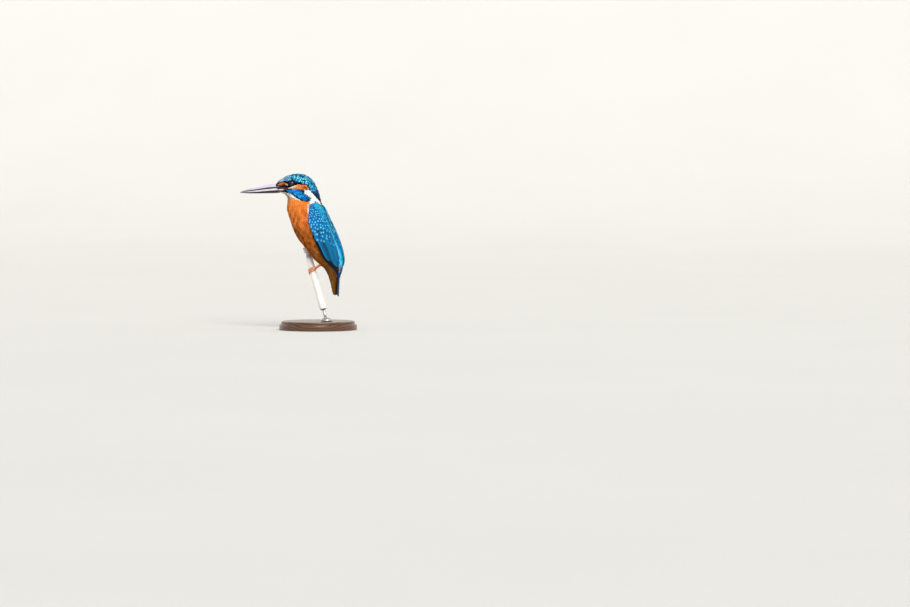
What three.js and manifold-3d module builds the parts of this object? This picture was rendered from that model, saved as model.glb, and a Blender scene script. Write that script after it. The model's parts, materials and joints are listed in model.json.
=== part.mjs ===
// Common kingfisher, life size, gripping a short cut length of reed that a plain display stand holds.
// Millimetres, +Z up. The bill points along -X and the bird's left side faces -Y.
// The origin is the centre of the stand's underside, where it meets the surface it stands on.
import * as THREE from "three";
import { mergeVertices } from "three/addons/utils/BufferGeometryUtils.js";
import Module from "manifold-3d";

const wasm = await Module();
wasm.setup();

// ---- Driving dimensions -------------------------------------------------------------------------

const GAP = 0.3; // between neighbouring pieces
const HEAD_TURN = THREE.MathUtils.degToRad(8); // the head looks a little to the bird's left
const NECK_X = -9.3; // the upright axis that the head turns about

// The body's ribs, from the bill's root to the tips of the under-tail coverts. Each is a closed
// section through a point on the back line and a point on the belly line, both in the plane y = 0.
// half is the rib's half-width, and egg moves its widest place towards the belly.
const RIBS = [
  { at: "bill_root", back: [-44.0, 149.4], belly: [-38.8, 140.7], half: 4.5, egg: 0.0 },
  { at: "lores", back: [-39.6, 154.0], belly: [-35.0, 139.5], half: 7.4, egg: 0.05 },
  { at: "eyes", back: [-29.6, 159.2], belly: [-32.3, 137.2], half: 10.4, egg: 0.12 },
  { at: "crown", back: [-17.6, 160.7], belly: [-31.4, 133.6], half: 12.4, egg: 0.15 },
  { at: "occiput", back: [-6.6, 155.4], belly: [-31.9, 129.5], half: 13.6, egg: 0.1 },
  { at: "nape", back: [-0.2, 144.4], belly: [-32.1, 124.6], half: 14.3, egg: 0.05 },
  { at: "neck", back: [2.9, 133.6], belly: [-31.0, 119.2], half: 15.6, egg: 0.0 },
  { at: "shoulder", back: [6.6, 122.6], belly: [-28.6, 111.8], half: 17.2, egg: -0.05 },
  { at: "breast", back: [11.8, 111.2], belly: [-25.5, 102.7], half: 17.8, egg: -0.05 },
  { at: "belly", back: [17.3, 99.3], belly: [-20.2, 92.7], half: 17.0, egg: -0.05 },
  { at: "thighs", back: [22.1, 87.2], belly: [-12.4, 83.4], half: 14.8, egg: -0.05 },
  { at: "vent", back: [25.2, 75.2], belly: [-4.4, 72.4], half: 11.2, egg: -0.1 },
  { at: "tail_root", back: [25.1, 64.9], belly: [5.7, 64.0], half: 8.4, egg: 0.0 },
  { at: "tail_coverts", back: [23.0, 53.8], belly: [11.4, 53.6], half: 6.8, egg: 0.0 },
  { at: "covert_tips", back: [20.4, 41.4], belly: [14.6, 41.2], half: 5.0, egg: 0.0 },
  { at: "covert_end", back: [20.0, 36.0], belly: [16.4, 35.6], half: 2.8, egg: 0.0 },
];
const ROUNDNESS = 2.15; // a rib's exponent: 2 is an ellipse, and more is boxier
const RIB_SIDES = 24;
const RIB_STEP = 0.6; // in ribs, between the sections that are drawn

// Thin cuts across the body, in ribs from the bill's root.
const CUTS = { head_neck: 5.05, neck_trunk: 6.7, trunk_rump: 11.25 };

// The bill's three lines in the head's own plane, from the gape to the tip.
const BILL = {
  root_x: -34.5,
  tip_x: -80,
  culmen: [[-34, 147.6], [-44.3, 149.5], [-52, 148.7], [-62, 146.7], [-72, 144.3], [-80.5, 141.7]],
  gape: [[-33.5, 144.9], [-41.2, 145.6], [-50, 144.9], [-60, 143.7], [-70, 142.5], [-80.5, 141.3]],
  gonys: [[-33.5, 141.9], [-41.2, 141.0], [-50, 140.7], [-60, 140.5], [-70, 140.4], [-80.5, 140.9]],
  half_width: 4.4,
  tip_half_width: 0.35,
};
const BILL_SIDES = 8;
const BILL_STEPS = 9;

const EYE = { x: -26.3, z: 150.3, radius: 3.4, sunk: 2.2 }; // sunk: its centre lies this deep
const EYE_SIDES = 14;

// A folded wing is a shell on the body between two edges, given as angles round the rib from the
// back's midline, at even steps from the shoulder to the wing's tip.
const WING = {
  shoulder: 6.15, // in ribs
  tip: 12.75,
  back_edge: [40, 16, 12, 11, 11, 12, 15, 24, 44],
  belly_edge: [68, 79, 86, 90, 92, 97, 98, 88, 62],
  twist: [0, 4, 10, 17, 21, 22, 21, 15, 6], // how far round to the left the back's midline lies
  follow: 0.8, // the share of the twist that the right wing's belly edge follows
  thickness: 2.3,
  edge: 0.7,
  inner: -1.2, // how deep a piece starts before the body is cut from it
};

// The wing's pieces, as shares of its length and of its width from the back's edge.
const WING_PARTINGS = {
  scapulars: 0.34, // of the width
  coverts_end: [0.62, 0.47], // of the length, at the back's edge and at the belly's
  primaries: 0.62, // of the width, until the primaries take all of it
  primaries_alone: [0.7, 0.93], // of the length
};

// The tail's feathers lie in one stack. Its line runs down the middle of the upper side.
const TAIL = {
  line: [[24.6, 70], [22.9, 58], [22.0, 46], [21.4, 34.4]],
  root_half: 4.4,
  tip_half: 7.6,
  thickness: 1.0,
  arch: 0.4, // how far the edges hang below the middle
  steps: 9,
  across: 6,
};

// The reed's axis, through a point by the upper foot and sloping down towards the tail.
const REED = {
  through: [-13.1, 8.9, 82.4],
  slope: [0.316, -0.2, -1],
  top: 86.5, // height of its upper end
  bottom: 21,
  radius: 2.45,
  node: { height: 75.6, radius: 2.95, half_length: 1.1 },
  hollow: 1.85, // radius of the holes in its ends
  top_hollow: 2.5,
  rod_hollow: 9,
  sides: 16,
};
const SHEATH = { top: 73.6, inner: 2.8, upper: 3.3, lower: 3.5 };

const THIGHS = {
  left: { hip: [11, -7.5, 82], ankle: [5.2, -5.2, 68.2], radius: 5.0 },
  right: { hip: [2.5, 8.5, 95], ankle: [-4.6, 9.6, 84.2], radius: 5.2 },
};

// Each foot grips the reed at a height. palm and reach are angles round the reed, in degrees from
// the bird's side (+X) towards its left (-Y), and turn is the way the front toes go.
const FEET = {
  left: { height: 61.6, palm: 50, turn: 1, core: SHEATH.upper + 0.12 },
  right: { height: 83.6, palm: -42, turn: -1, core: REED.radius },
};
const TOES = [
  { name: "inner", rise: [1.65, 0.7], reach: 132, radius: 0.66 },
  { name: "middle", rise: [0.0, -1.4], reach: 166, radius: 0.68 },
  { name: "outer", rise: [-1.65, -3.4], reach: 152, radius: 0.64 },
  { name: "hind", rise: [0.0, 0.6], reach: -126, radius: 0.72 },
];
const TOE_START = 27; // degrees from the palm's middle
const CLAW = { reach: 34, root: 0.5, tip: 0.25 };
const TARSUS = { radius: 1.25, ankle_radius: 1.45 };
const PALM = { spread: 20, half_width: 2.3, half_thickness: 0.85 };

const BASE = { radius: 40, height: 9, bevel: 1.1, sides: 40 };
const SOCKET = { radius: 6.2, height: 3.6 };
const ROD = { radius: 1.5, sunk: 5, into_reed: 7, sides: 14 };

// ---- Materials ----------------------------------------------------------------------------------

const paint = (color, roughness, metalness = 0) =>
  new THREE.MeshStandardMaterial({ color, roughness, metalness });
const MATERIALS = {
  crown_blue: paint(0x14708f, 0.6),
  back_azure: paint(0x1fb0e6, 0.5),
  wing_blue: paint(0x0a6d9c, 0.55),
  breast_orange: paint(0xc9681c, 0.8),
  tail_blue: paint(0x123f7c, 0.55),
  bill_black: paint(0x17151a, 0.35),
  eye_dark: paint(0x0c0705, 0.08),
  foot_red: paint(0xd9563a, 0.5),
  claw_dark: paint(0x2a1712, 0.4),
  reed_straw: paint(0xe6dfcd, 0.6),
  stand_wood: paint(0x4a3120, 0.5),
  stand_steel: paint(0xb9bcc0, 0.3, 1),
};

// ---- Solids from geometries ---------------------------------------------------------------------

function solid(geometry) {
  const bare = geometry.clone();
  bare.deleteAttribute("normal");
  bare.deleteAttribute("uv");
  const merged = mergeVertices(bare, 1e-4);
  const made = (triVerts) =>
    new wasm.Manifold(
      new wasm.Mesh({
        numProp: 3,
        vertProperties: new Float32Array(merged.attributes.position.array),
        triVerts,
      }),
    );
  const corners = new Uint32Array(merged.index.array);
  const first = made(corners);
  if (first.volume() > 0) return first;
  for (let i = 0; i < corners.length; i += 3)
    [corners[i + 1], corners[i + 2]] = [corners[i + 2], corners[i + 1]];
  return made(corners);
}

function geometryOf(manifold) {
  const mesh = manifold.getMesh();
  const places = new Float32Array(mesh.numVert * 3);
  for (let i = 0; i < mesh.numVert; i++)
    places.set(mesh.vertProperties.subarray(i * mesh.numProp, i * mesh.numProp + 3), i * 3);
  const geometry = new THREE.BufferGeometry();
  geometry.setAttribute("position", new THREE.BufferAttribute(places, 3));
  geometry.setIndex(new THREE.BufferAttribute(new Uint32Array(mesh.triVerts), 1));
  geometry.computeVertexNormals();
  return geometry;
}

const largest = (manifold) =>
  manifold.decompose().reduce((a, b) => (b.volume() > a.volume() ? b : a));

// A closed solid over rings of points that all have the same number of points, with flat ends.
function loft(rings) {
  const around = rings[0].length;
  const places = rings.flat().flatMap((p) => [p.x, p.y, p.z]);
  const corners = [];
  for (let i = 0; i + 1 < rings.length; i++)
    for (let j = 0; j < around; j++) {
      const a = i * around + j;
      const b = i * around + ((j + 1) % around);
      corners.push(a, b, b + around, a, b + around, a + around);
    }
  const middle = (ring) =>
    ring.reduce((sum, p) => sum.add(p), new THREE.Vector3()).divideScalar(around);
  for (const [ring, start, turned] of [
    [rings[0], 0, true],
    [rings.at(-1), (rings.length - 1) * around, false],
  ]) {
    const hub = places.length / 3;
    const m = middle(ring);
    places.push(m.x, m.y, m.z);
    for (let j = 0; j < around; j++) {
      const [a, b] = [start + j, start + ((j + 1) % around)];
      corners.push(...(turned ? [b, a, hub] : [a, b, hub]));
    }
  }
  const geometry = new THREE.BufferGeometry();
  geometry.setAttribute("position", new THREE.Float32BufferAttribute(places, 3));
  geometry.setIndex(corners);
  return solid(geometry);
}

const lineThrough = (points) =>
  new THREE.CatmullRomCurve3(
    points.map(([x, z, extra = 0]) => new THREE.Vector3(x, extra, z)),
    false,
    "catmullrom",
    0.5,
  );

const steps = (from, to, count) =>
  Array.from({ length: count + 1 }, (_, i) => THREE.MathUtils.lerp(from, to, i / count));

// ---- The body's surface -------------------------------------------------------------------------

const backLine = lineThrough(RIBS.map((r) => [...r.back, r.half]));
const bellyLine = lineThrough(RIBS.map((r) => [...r.belly, r.egg]));

// How far the head's turn has gone over into the body at a place along the ribs.
const turnAt = (s) => HEAD_TURN * (1 - THREE.MathUtils.smoothstep(s, 4.2, 7.4));

function turned(p, angle = HEAD_TURN) {
  const x = p.x - NECK_X;
  return new THREE.Vector3(
    NECK_X + x * Math.cos(angle) - p.y * Math.sin(angle),
    x * Math.sin(angle) + p.y * Math.cos(angle),
    p.z,
  );
}

// A point of the body's skin: s in ribs, angle from the back's midline round by the left side, and
// lift outwards from the skin, in the rib's own plane.
function bodyPoint(s, angle, lift = 0) {
  const back = backLine.getPoint(s / (RIBS.length - 1));
  const belly = bellyLine.getPoint(s / (RIBS.length - 1));
  const half = back.y;
  const egg = belly.y;
  const middle = new THREE.Vector3((back.x + belly.x) / 2, 0, (back.z + belly.z) / 2);
  const up = new THREE.Vector3(back.x - middle.x, 0, back.z - middle.z);
  const height = up.length();
  up.normalize();
  const power = (v) => Math.sign(v) * Math.abs(v) ** (2 / ROUNDNESS);
  const at = (a) => {
    const [c, l] = [power(Math.cos(a)), power(Math.sin(a))];
    return new THREE.Vector2(height * c, half * l * (1 - egg * c));
  };
  const here = at(angle);
  const along = at(angle + 0.01).sub(at(angle - 0.01)).normalize();
  here.add(new THREE.Vector2(-along.y, along.x).multiplyScalar(-lift));
  return turned(
    new THREE.Vector3(middle.x + up.x * here.x, -here.y, middle.z + up.z * here.x),
    turnAt(s),
  );
}

const bodyRing = (s, lift = 0) =>
  steps(0, 2 * Math.PI, RIB_SIDES).slice(0, -1).map((a) => bodyPoint(s, a, lift));

const wholeBody = (lift = 0, from = 0, to = RIBS.length - 1) =>
  loft(steps(from, to, Math.round((to - from) / RIB_STEP)).map((s) => bodyRing(s, lift)));

// A thin plate across the body at rib s, as thick as a gap.
function cutPlate(s) {
  const back = backLine.getPoint(s / (RIBS.length - 1));
  const belly = bellyLine.getPoint(s / (RIBS.length - 1));
  const plate = new THREE.BoxGeometry(120, 80, GAP);
  plate.rotateY(-Math.atan2(back.z - belly.z, back.x - belly.x));
  plate.translate((back.x + belly.x) / 2, 0, (back.z + belly.z) / 2);
  return solid(plate);
}

// ---- Head pieces --------------------------------------------------------------------------------

// The height of one of the bill's lines at a distance x.
function heightAt(points, x) {
  const line = lineThrough(points);
  let [near, far] = [0, 1];
  for (let i = 0; i < 30; i++) {
    const half = (near + far) / 2;
    if (line.getPoint(half).x > x) near = half;
    else far = half;
  }
  return line.getPoint(near).z;
}

// One mandible, between the gape's line and the culmen or the gonys, in the turned head.
function mandible(outer, grow = 0) {
  const side = outer === BILL.culmen ? 1 : -1;
  return loft(
    steps(0, 1, BILL_STEPS).map((t) => {
      const x = THREE.MathUtils.lerp(BILL.root_x + grow, BILL.tip_x, t);
      const gape = heightAt(BILL.gape, x) + side * (GAP / 2 - grow);
      const height = Math.max(side * (heightAt(outer, x) - gape) + grow, 0.42);
      const half = THREE.MathUtils.lerp(BILL.half_width, BILL.tip_half_width, t ** 0.85) + grow;
      return steps(0, Math.PI, BILL_SIDES).map((a) =>
        turned(new THREE.Vector3(x, half * Math.cos(a), gape + side * height * Math.sin(a) ** 0.8)),
      );
    }),
  );
}

// The eye's centre: under the skin at the eye's place in the head's profile.
function eyeCentre(left) {
  let best = null;
  for (const s of steps(1, 4, 60))
    for (const a of steps(0.3, 2.2, 80)) {
      const p = turned(bodyPoint(s, left ? a : -a), -HEAD_TURN);
      const off = Math.hypot(p.x - EYE.x, p.z - EYE.z);
      if (!best || off < best.off) best = { off, y: p.y };
    }
  const y = best.y - Math.sign(best.y) * EYE.sunk;
  return turned(new THREE.Vector3(EYE.x, y, EYE.z));
}

function ball(centre, radius, sides = EYE_SIDES) {
  const sphere = new THREE.SphereGeometry(radius, sides, Math.round(sides * 0.6));
  return solid(sphere.rotateX(Math.PI / 2).translate(centre.x, centre.y, centre.z));
}

// ---- Wings --------------------------------------------------------------------------------------

const edgeAngle = (angles, share) =>
  THREE.MathUtils.degToRad(
    lineThrough(angles.map((a, i) => [i, a])).getPoint(THREE.MathUtils.clamp(share, 0, 1)).z,
  );

// A point of a folded wing: share along from shoulder to tip, and across from back to belly edge.
function wingPoint(along, across, side, lift) {
  const s = THREE.MathUtils.lerp(WING.shoulder, WING.tip, along);
  const twist = edgeAngle(WING.twist, along);
  const from = edgeAngle(WING.back_edge, along) + side * twist;
  const to = edgeAngle(WING.belly_edge, along) - (side < 0 ? WING.follow * twist : 0);
  return bodyPoint(s, side * THREE.MathUtils.lerp(from, to, across), lift);
}

// The outer face of a wing, as a lift from the skin: highest in the middle, thin at the edges.
function wingRise(along, across) {
  const swell = Math.sqrt(Math.max(0, 4 * across * (1 - across))) ** 0.7 * (1 - 0.45 * along);
  return GAP + WING.edge + (WING.thickness - WING.edge) * swell;
}

// A piece of a wing. length and width give its ends and its edges, each as two functions of the
// share across or along, and grow lifts its outer face.
function wingPiece(side, length, width, grow, counts) {
  const atMiddle = (v) => THREE.MathUtils.lerp(width[0](0.5), width[1](0.5), v);
  const place = (u, v, lift) => {
    const along = THREE.MathUtils.lerp(length[0](atMiddle(v)), length[1](atMiddle(v)), u);
    const span = wingPoint(along, 0, side, 0).distanceTo(wingPoint(along, 1, side, 0));
    const slit = Math.min(0.4, (0.8 * GAP) / span); // towards a neighbouring piece
    const near = width[0](along) + (width[0](along) > 0.01 ? slit : 0);
    const far = width[1](along) - (width[1](along) < 0.99 ? slit : 0);
    const across = THREE.MathUtils.lerp(near, far, v);
    return wingPoint(along, across, side, lift ?? wingRise(along, across) + grow);
  };
  return loft(
    steps(0, 1, counts[0]).map((u) => [
      ...steps(0, 1, counts[1]).map((v) => place(u, v)),
      ...steps(1, 0, counts[1]).map((v) => place(u, v, WING.inner)),
    ]),
  );
}

function wingPieces(side) {
  const { scapulars, coverts_end, primaries, primaries_alone } = WING_PARTINGS;
  const slit = 0.0025; // of the wing's length, to either side of a parting across it
  const proud = 0.2; // how far the feathers that overlap the others stand above them
  const end = (across) => THREE.MathUtils.lerp(...coverts_end, across);
  const parting = (along) =>
    primaries * (1 - THREE.MathUtils.smoothstep(along, ...primaries_alone));
  const level = (value) => () => value;
  return {
    scapulars: wingPiece(side, [level(0), (v) => end(v) - slit], [level(0), level(scapulars)], proud, [9, 3]),
    coverts: wingPiece(side, [level(0), (v) => end(v) - slit], [level(scapulars), level(1)], proud, [8, 6]),
    secondaries: wingPiece(
      side,
      [(v) => end(v) + slit, level(primaries_alone[1] - 0.03)],
      [level(0), parting],
      0,
      [7, 5],
    ),
    primaries: wingPiece(side, [(v) => end(v) + slit, level(1)], [parting, level(1)], 0, [9, 4]),
  };
}

// ---- Legs, feet and reed ------------------------------------------------------------------------

const vector = (p) => new THREE.Vector3(...p);
const reedUp = vector(REED.slope).negate().normalize();
const reedOut = new THREE.Vector3(1, 0, 0).addScaledVector(reedUp, -reedUp.x).normalize();
const reedLeft = new THREE.Vector3().crossVectors(reedOut, reedUp);

function reedPoint(height) {
  const drop = REED.through[2] - height;
  return vector(REED.through).addScaledVector(vector(REED.slope), drop);
}

// A point near the reed: at a height, raised along it, at an angle round it and a distance out.
function gripPoint(foot, angle, rise, distance) {
  const a = THREE.MathUtils.degToRad(angle);
  return reedPoint(foot.height)
    .addScaledVector(reedUp, rise)
    .addScaledVector(reedOut, distance * Math.cos(a))
    .addScaledVector(reedLeft, distance * Math.sin(a));
}

// A solid of revolution about the reed's axis, from (radius, height above its foot) points.
function aboutReed(profile, sides) {
  const geometry = new THREE.LatheGeometry(profile.map(([r, h]) => new THREE.Vector2(r, h)), sides);
  geometry.applyQuaternion(new THREE.Quaternion().setFromUnitVectors(new THREE.Vector3(0, 1, 0), reedUp));
  const foot = reedPoint(REED.bottom);
  return solid(geometry.translate(foot.x, foot.y, foot.z));
}

const alongReed = (height) => reedPoint(height).distanceTo(reedPoint(REED.bottom));

function reed(grow = 0) {
  const length = alongReed(REED.top);
  const node = alongReed(REED.node.height);
  const [r, swell] = [REED.radius + grow, REED.node.radius + grow];
  const skin = [
    [r, -grow],
    [r, node - 2 * REED.node.half_length],
    [swell, node - REED.node.half_length / 2],
    [swell, node + REED.node.half_length / 2],
    [r, node + 2 * REED.node.half_length],
    [r, length + grow],
  ];
  if (grow) return aboutReed([[0, -grow], ...skin, [0, length + grow]], REED.sides);
  return aboutReed(
    [
      [0, REED.rod_hollow],
      [REED.hollow, REED.rod_hollow - 1],
      [REED.hollow, 0],
      ...skin,
      [REED.hollow, length],
      [REED.hollow, length - REED.top_hollow + 1],
      [0, length - REED.top_hollow],
    ],
    REED.sides,
  );
}

function sheath(grow = 0) {
  const top = alongReed(SHEATH.top);
  return aboutReed(
    [
      [SHEATH.inner, 0.4 - grow],
      [SHEATH.lower + grow, 0.4 - grow],
      [SHEATH.lower + grow, top * 0.45],
      [SHEATH.upper + grow, top],
      [SHEATH.inner, top],
      [SHEATH.inner, 0.4 - grow],
    ],
    REED.sides,
  );
}

// A round or oval bar along points, with its own half-sizes at each: out along outward(i), and
// wide across it.
function bar(points, outward, wide, thick, sides = 8) {
  return loft(
    points.map((p, i) => {
      const ahead = points[Math.min(i + 1, points.length - 1)].clone();
      const tangent = ahead.sub(points[Math.max(i - 1, 0)]).normalize();
      const out = outward(i).clone().addScaledVector(tangent, -outward(i).dot(tangent)).normalize();
      const across = new THREE.Vector3().crossVectors(tangent, out);
      return steps(0, 2 * Math.PI, sides).slice(0, -1).map((a) =>
        p.clone()
          .addScaledVector(out, thick(i) * Math.cos(a))
          .addScaledVector(across, wide(i) * Math.sin(a)),
      );
    }),
  );
}

function palm(foot, grow = 0) {
  const angles = steps(foot.palm - PALM.spread, foot.palm + PALM.spread, 4);
  const distance = foot.core + GAP + PALM.half_thickness;
  const points = angles.map((a) => gripPoint(foot, a, 0, distance));
  const axis = reedPoint(foot.height);
  const size = (i) => (i === 0 || i === angles.length - 1 ? 0.86 : 1);
  return bar(
    points,
    (i) => points[i].clone().sub(axis),
    (i) => PALM.half_width * size(i) + grow,
    () => PALM.half_thickness + grow,
    12,
  );
}

// How high a toe lies on the reed, at a share of the way to its end.
const toeRise = (rise, share) => THREE.MathUtils.lerp(rise[0], rise[1], share ** 1.5);

// A toe curled round the reed, and the claw beyond it.
function toe(foot, { rise, reach, radius }) {
  const way = Math.sign(reach) * foot.turn;
  const count = 7;
  const last = Math.abs(reach) - CLAW.reach;
  const points = steps(TOE_START, last, count).map((a) =>
    gripPoint(foot, foot.palm + way * a, toeRise(rise, a / last), foot.core + GAP + radius),
  );
  const size = (i) => radius * (i === 0 ? 0.9 : 1 - 0.16 * (i / count));
  const axis = reedPoint(foot.height);
  return bar(points, (i) => points[i].clone().sub(axis), size, size, 8);
}

function claw(foot, { rise, reach, radius }) {
  const way = Math.sign(reach) * foot.turn;
  const count = 4;
  const last = Math.abs(reach) - CLAW.reach;
  const start = last + THREE.MathUtils.radToDeg(GAP / foot.core);
  const points = steps(start, Math.abs(reach), count).map((a, i) =>
    gripPoint(
      foot,
      foot.palm + way * a,
      toeRise(rise, a / last),
      foot.core + GAP + THREE.MathUtils.lerp(radius, CLAW.tip + 0.1, (i / count) ** 2),
    ),
  );
  const size = (i) => THREE.MathUtils.lerp(CLAW.root, CLAW.tip, i / count);
  const axis = reedPoint(foot.height);
  return bar(points, (i) => points[i].clone().sub(axis), size, size, 7);
}

// The room that a foot takes up round the reed.
function footRoom(foot) {
  const middle = alongReed(foot.height);
  const [r, h] = [foot.core + 2.6, 3.5];
  return aboutReed([[0, middle - h], [r, middle - h], [r, middle + h], [0, middle + h]], 24);
}

function tarsus(name, grow = 0) {
  const foot = FEET[name];
  const ankle = vector(THIGHS[name].ankle);
  const heel = gripPoint(foot, foot.palm, 0, foot.core + GAP + PALM.half_thickness + 0.5);
  const points = steps(0, 1, 4).map((t) => ankle.clone().lerp(heel, t));
  const size = (i) => THREE.MathUtils.lerp(TARSUS.ankle_radius, TARSUS.radius, i / 4) + grow;
  return bar(points, () => new THREE.Vector3(0, 0, 1), size, size, 10).add(palm(foot, grow));
}

// The feathered thigh: an egg from the hip to the ankle. skin makes it larger all round.
function thigh(name, skin = 0) {
  const { hip, ankle, radius } = THIGHS[name];
  const [a, b] = [vector(hip), vector(ankle)];
  const egg = new THREE.SphereGeometry(1, 12, 8);
  egg.scale(radius + skin, a.distanceTo(b) / 2 + 2.2 + skin, radius + skin);
  egg.applyQuaternion(
    new THREE.Quaternion().setFromUnitVectors(new THREE.Vector3(0, 1, 0), a.clone().sub(b).normalize()),
  );
  const middle = a.lerp(b, 0.5);
  return solid(egg.translate(middle.x, middle.y, middle.z));
}

// ---- Tail and stand -----------------------------------------------------------------------------

function tail(grow = 0) {
  const line = lineThrough(TAIL.line);
  return loft(
    steps(0, 1, TAIL.steps).map((t) => {
      const p = line.getPoint(t);
      const way = line.getTangent(t);
      const out = new THREE.Vector3(-way.z, 0, way.x); // towards the back
      const spread = THREE.MathUtils.lerp(TAIL.root_half, TAIL.tip_half, Math.min(1, t / 0.85));
      const rounded = t > 0.85 ? Math.sqrt(1 - 0.5 * ((t - 0.85) / 0.15) ** 2) : 1;
      const half = spread * rounded + grow;
      const row = (thickness, from, to) =>
        steps(from, to, TAIL.across).map((v) =>
          new THREE.Vector3(p.x, half * v, p.z).addScaledVector(out, thickness - TAIL.arch * v * v),
        );
      return [...row(grow, -1, 1), ...row(-TAIL.thickness - grow, 1, -1)];
    }),
  );
}

function standBase() {
  const { radius, height, bevel, sides } = BASE;
  const profile = [
    [0, 0],
    [radius, 0],
    [radius, height - bevel],
    [radius - bevel, height],
    [0, height],
  ];
  const disc = new THREE.LatheGeometry(profile.map(([r, h]) => new THREE.Vector2(r, h)), sides);
  return solid(disc.rotateX(Math.PI / 2));
}

function standSocket() {
  const { radius, height } = SOCKET;
  const foot = BASE.height + GAP;
  const arc = steps(0, Math.PI / 2, 3).map(
    (a) => new THREE.Vector2(radius * Math.cos(a), 0.8 + (height - 0.8) * Math.sin(a)),
  );
  arc.at(-1).x = 0;
  const dome = new THREE.LatheGeometry([new THREE.Vector2(0, 0), new THREE.Vector2(radius, 0), ...arc], 16);
  const at = reedPoint(foot);
  return solid(dome.rotateX(Math.PI / 2).translate(at.x, at.y, foot));
}

function standRod(grow = 0) {
  const bottom = alongReed(BASE.height - ROD.sunk) * -1 - grow;
  const top = ROD.into_reed + grow;
  const r = ROD.radius + grow;
  return aboutReed([[0, bottom], [r, bottom], [r, top], [0, top]], ROD.sides);
}

// ---- Assembly -----------------------------------------------------------------------------------

const kingfisher = new THREE.Group();

// tolerance: how far the faces may move when ones that hardly bend are joined
function put(name, manifold, material, tolerance = 0.03) {
  const mesh = new THREE.Mesh(geometryOf(manifold.simplify(tolerance)), MATERIALS[material]);
  mesh.name = name;
  kingfisher.add(mesh);
}

const SIDES = { left: 1, right: -1 };
const stem = reed(GAP).add(sheath(GAP));

function addBody() {
  let flesh = wholeBody();
  for (const name of Object.keys(SIDES))
    flesh = flesh.subtract(thigh(name, GAP)).subtract(tarsus(name, GAP)).subtract(footRoom(FEET[name]));
  flesh = flesh.subtract(stem).subtract(tail(GAP));
  for (const s of Object.values(CUTS)) flesh = flesh.subtract(cutPlate(s));
  flesh = flesh.subtract(mandible(BILL.culmen, GAP)).subtract(mandible(BILL.gonys, GAP));
  for (const name of Object.keys(SIDES))
    flesh = flesh.subtract(ball(eyeCentre(name === "left"), EYE.radius + GAP));
  const pieces = flesh.decompose().sort((a, b) => b.volume() - a.volume()).slice(0, 4);
  pieces.sort((a, b) => b.boundingBox().max[2] - a.boundingBox().max[2]);
  const [head, neck, trunk, rump] = pieces;
  put("head", head, "crown_blue", 0.12);
  put("neck", neck, "breast_orange", 0.12);
  put("trunk", trunk, "breast_orange", 0.12);
  put("rump", rump, "back_azure", 0.12);
}

function addHeadPieces() {
  put("bill_upper", mandible(BILL.culmen), "bill_black");
  put("bill_lower", mandible(BILL.gonys), "bill_black");
  for (const name of Object.keys(SIDES))
    put(`eye_${name}`, ball(eyeCentre(name === "left"), EYE.radius), "eye_dark");
}

function addWings() {
  const room = wholeBody(GAP, WING.shoulder - 0.65, WING.tip + 0.75).add(tail(GAP));
  for (const [name, side] of Object.entries(SIDES))
    for (const [piece, blank] of Object.entries(wingPieces(side)))
      put(`wing_${name}_${piece}`, largest(blank.subtract(room)), "wing_blue", 0.06);
}

function addLegs() {
  for (const name of Object.keys(SIDES)) {
    const foot = FEET[name];
    const shank = tarsus(name);
    const muscle = thigh(name).subtract(stem).subtract(tarsus(name, GAP)).subtract(footRoom(foot));
    put(`thigh_${name}`, largest(muscle), "breast_orange");
    put(`tarsus_${name}`, shank, "foot_red");
    for (const spec of TOES) {
      put(`toe_${name}_${spec.name}`, toe(foot, spec), "foot_red");
      put(`claw_${name}_${spec.name}`, claw(foot, spec), "claw_dark");
    }
  }
}

function addPerchAndStand() {
  put("perch_reed", reed(), "reed_straw");
  put("perch_sheath", sheath(), "reed_straw");
  put("stand_base", standBase().subtract(standRod(GAP)), "stand_wood");
  put("stand_socket", standSocket().subtract(standRod(GAP)), "stand_steel");
  put("stand_rod", standRod(), "stand_steel");
}

addBody();
addHeadPieces();
addWings();
addLegs();
put("tail", tail(), "tail_blue");
addPerchAndStand();

export default kingfisher;
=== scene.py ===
"""Common kingfisher, life size and still, gripping a short cut length of reed on a plain stand.

The shape functions below work in millimetres, +Z up, with the bill along -X and the bird's left
side facing -Y, and make_piece turns them into metres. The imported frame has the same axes. A place
on the body is given by s, in ribs from the bill's root, and an angle round from the back's midline
by the left side.
"""

import functools
import json
import math
from types import SimpleNamespace

import bpy
import numpy as np
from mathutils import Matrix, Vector, kdtree

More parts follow.
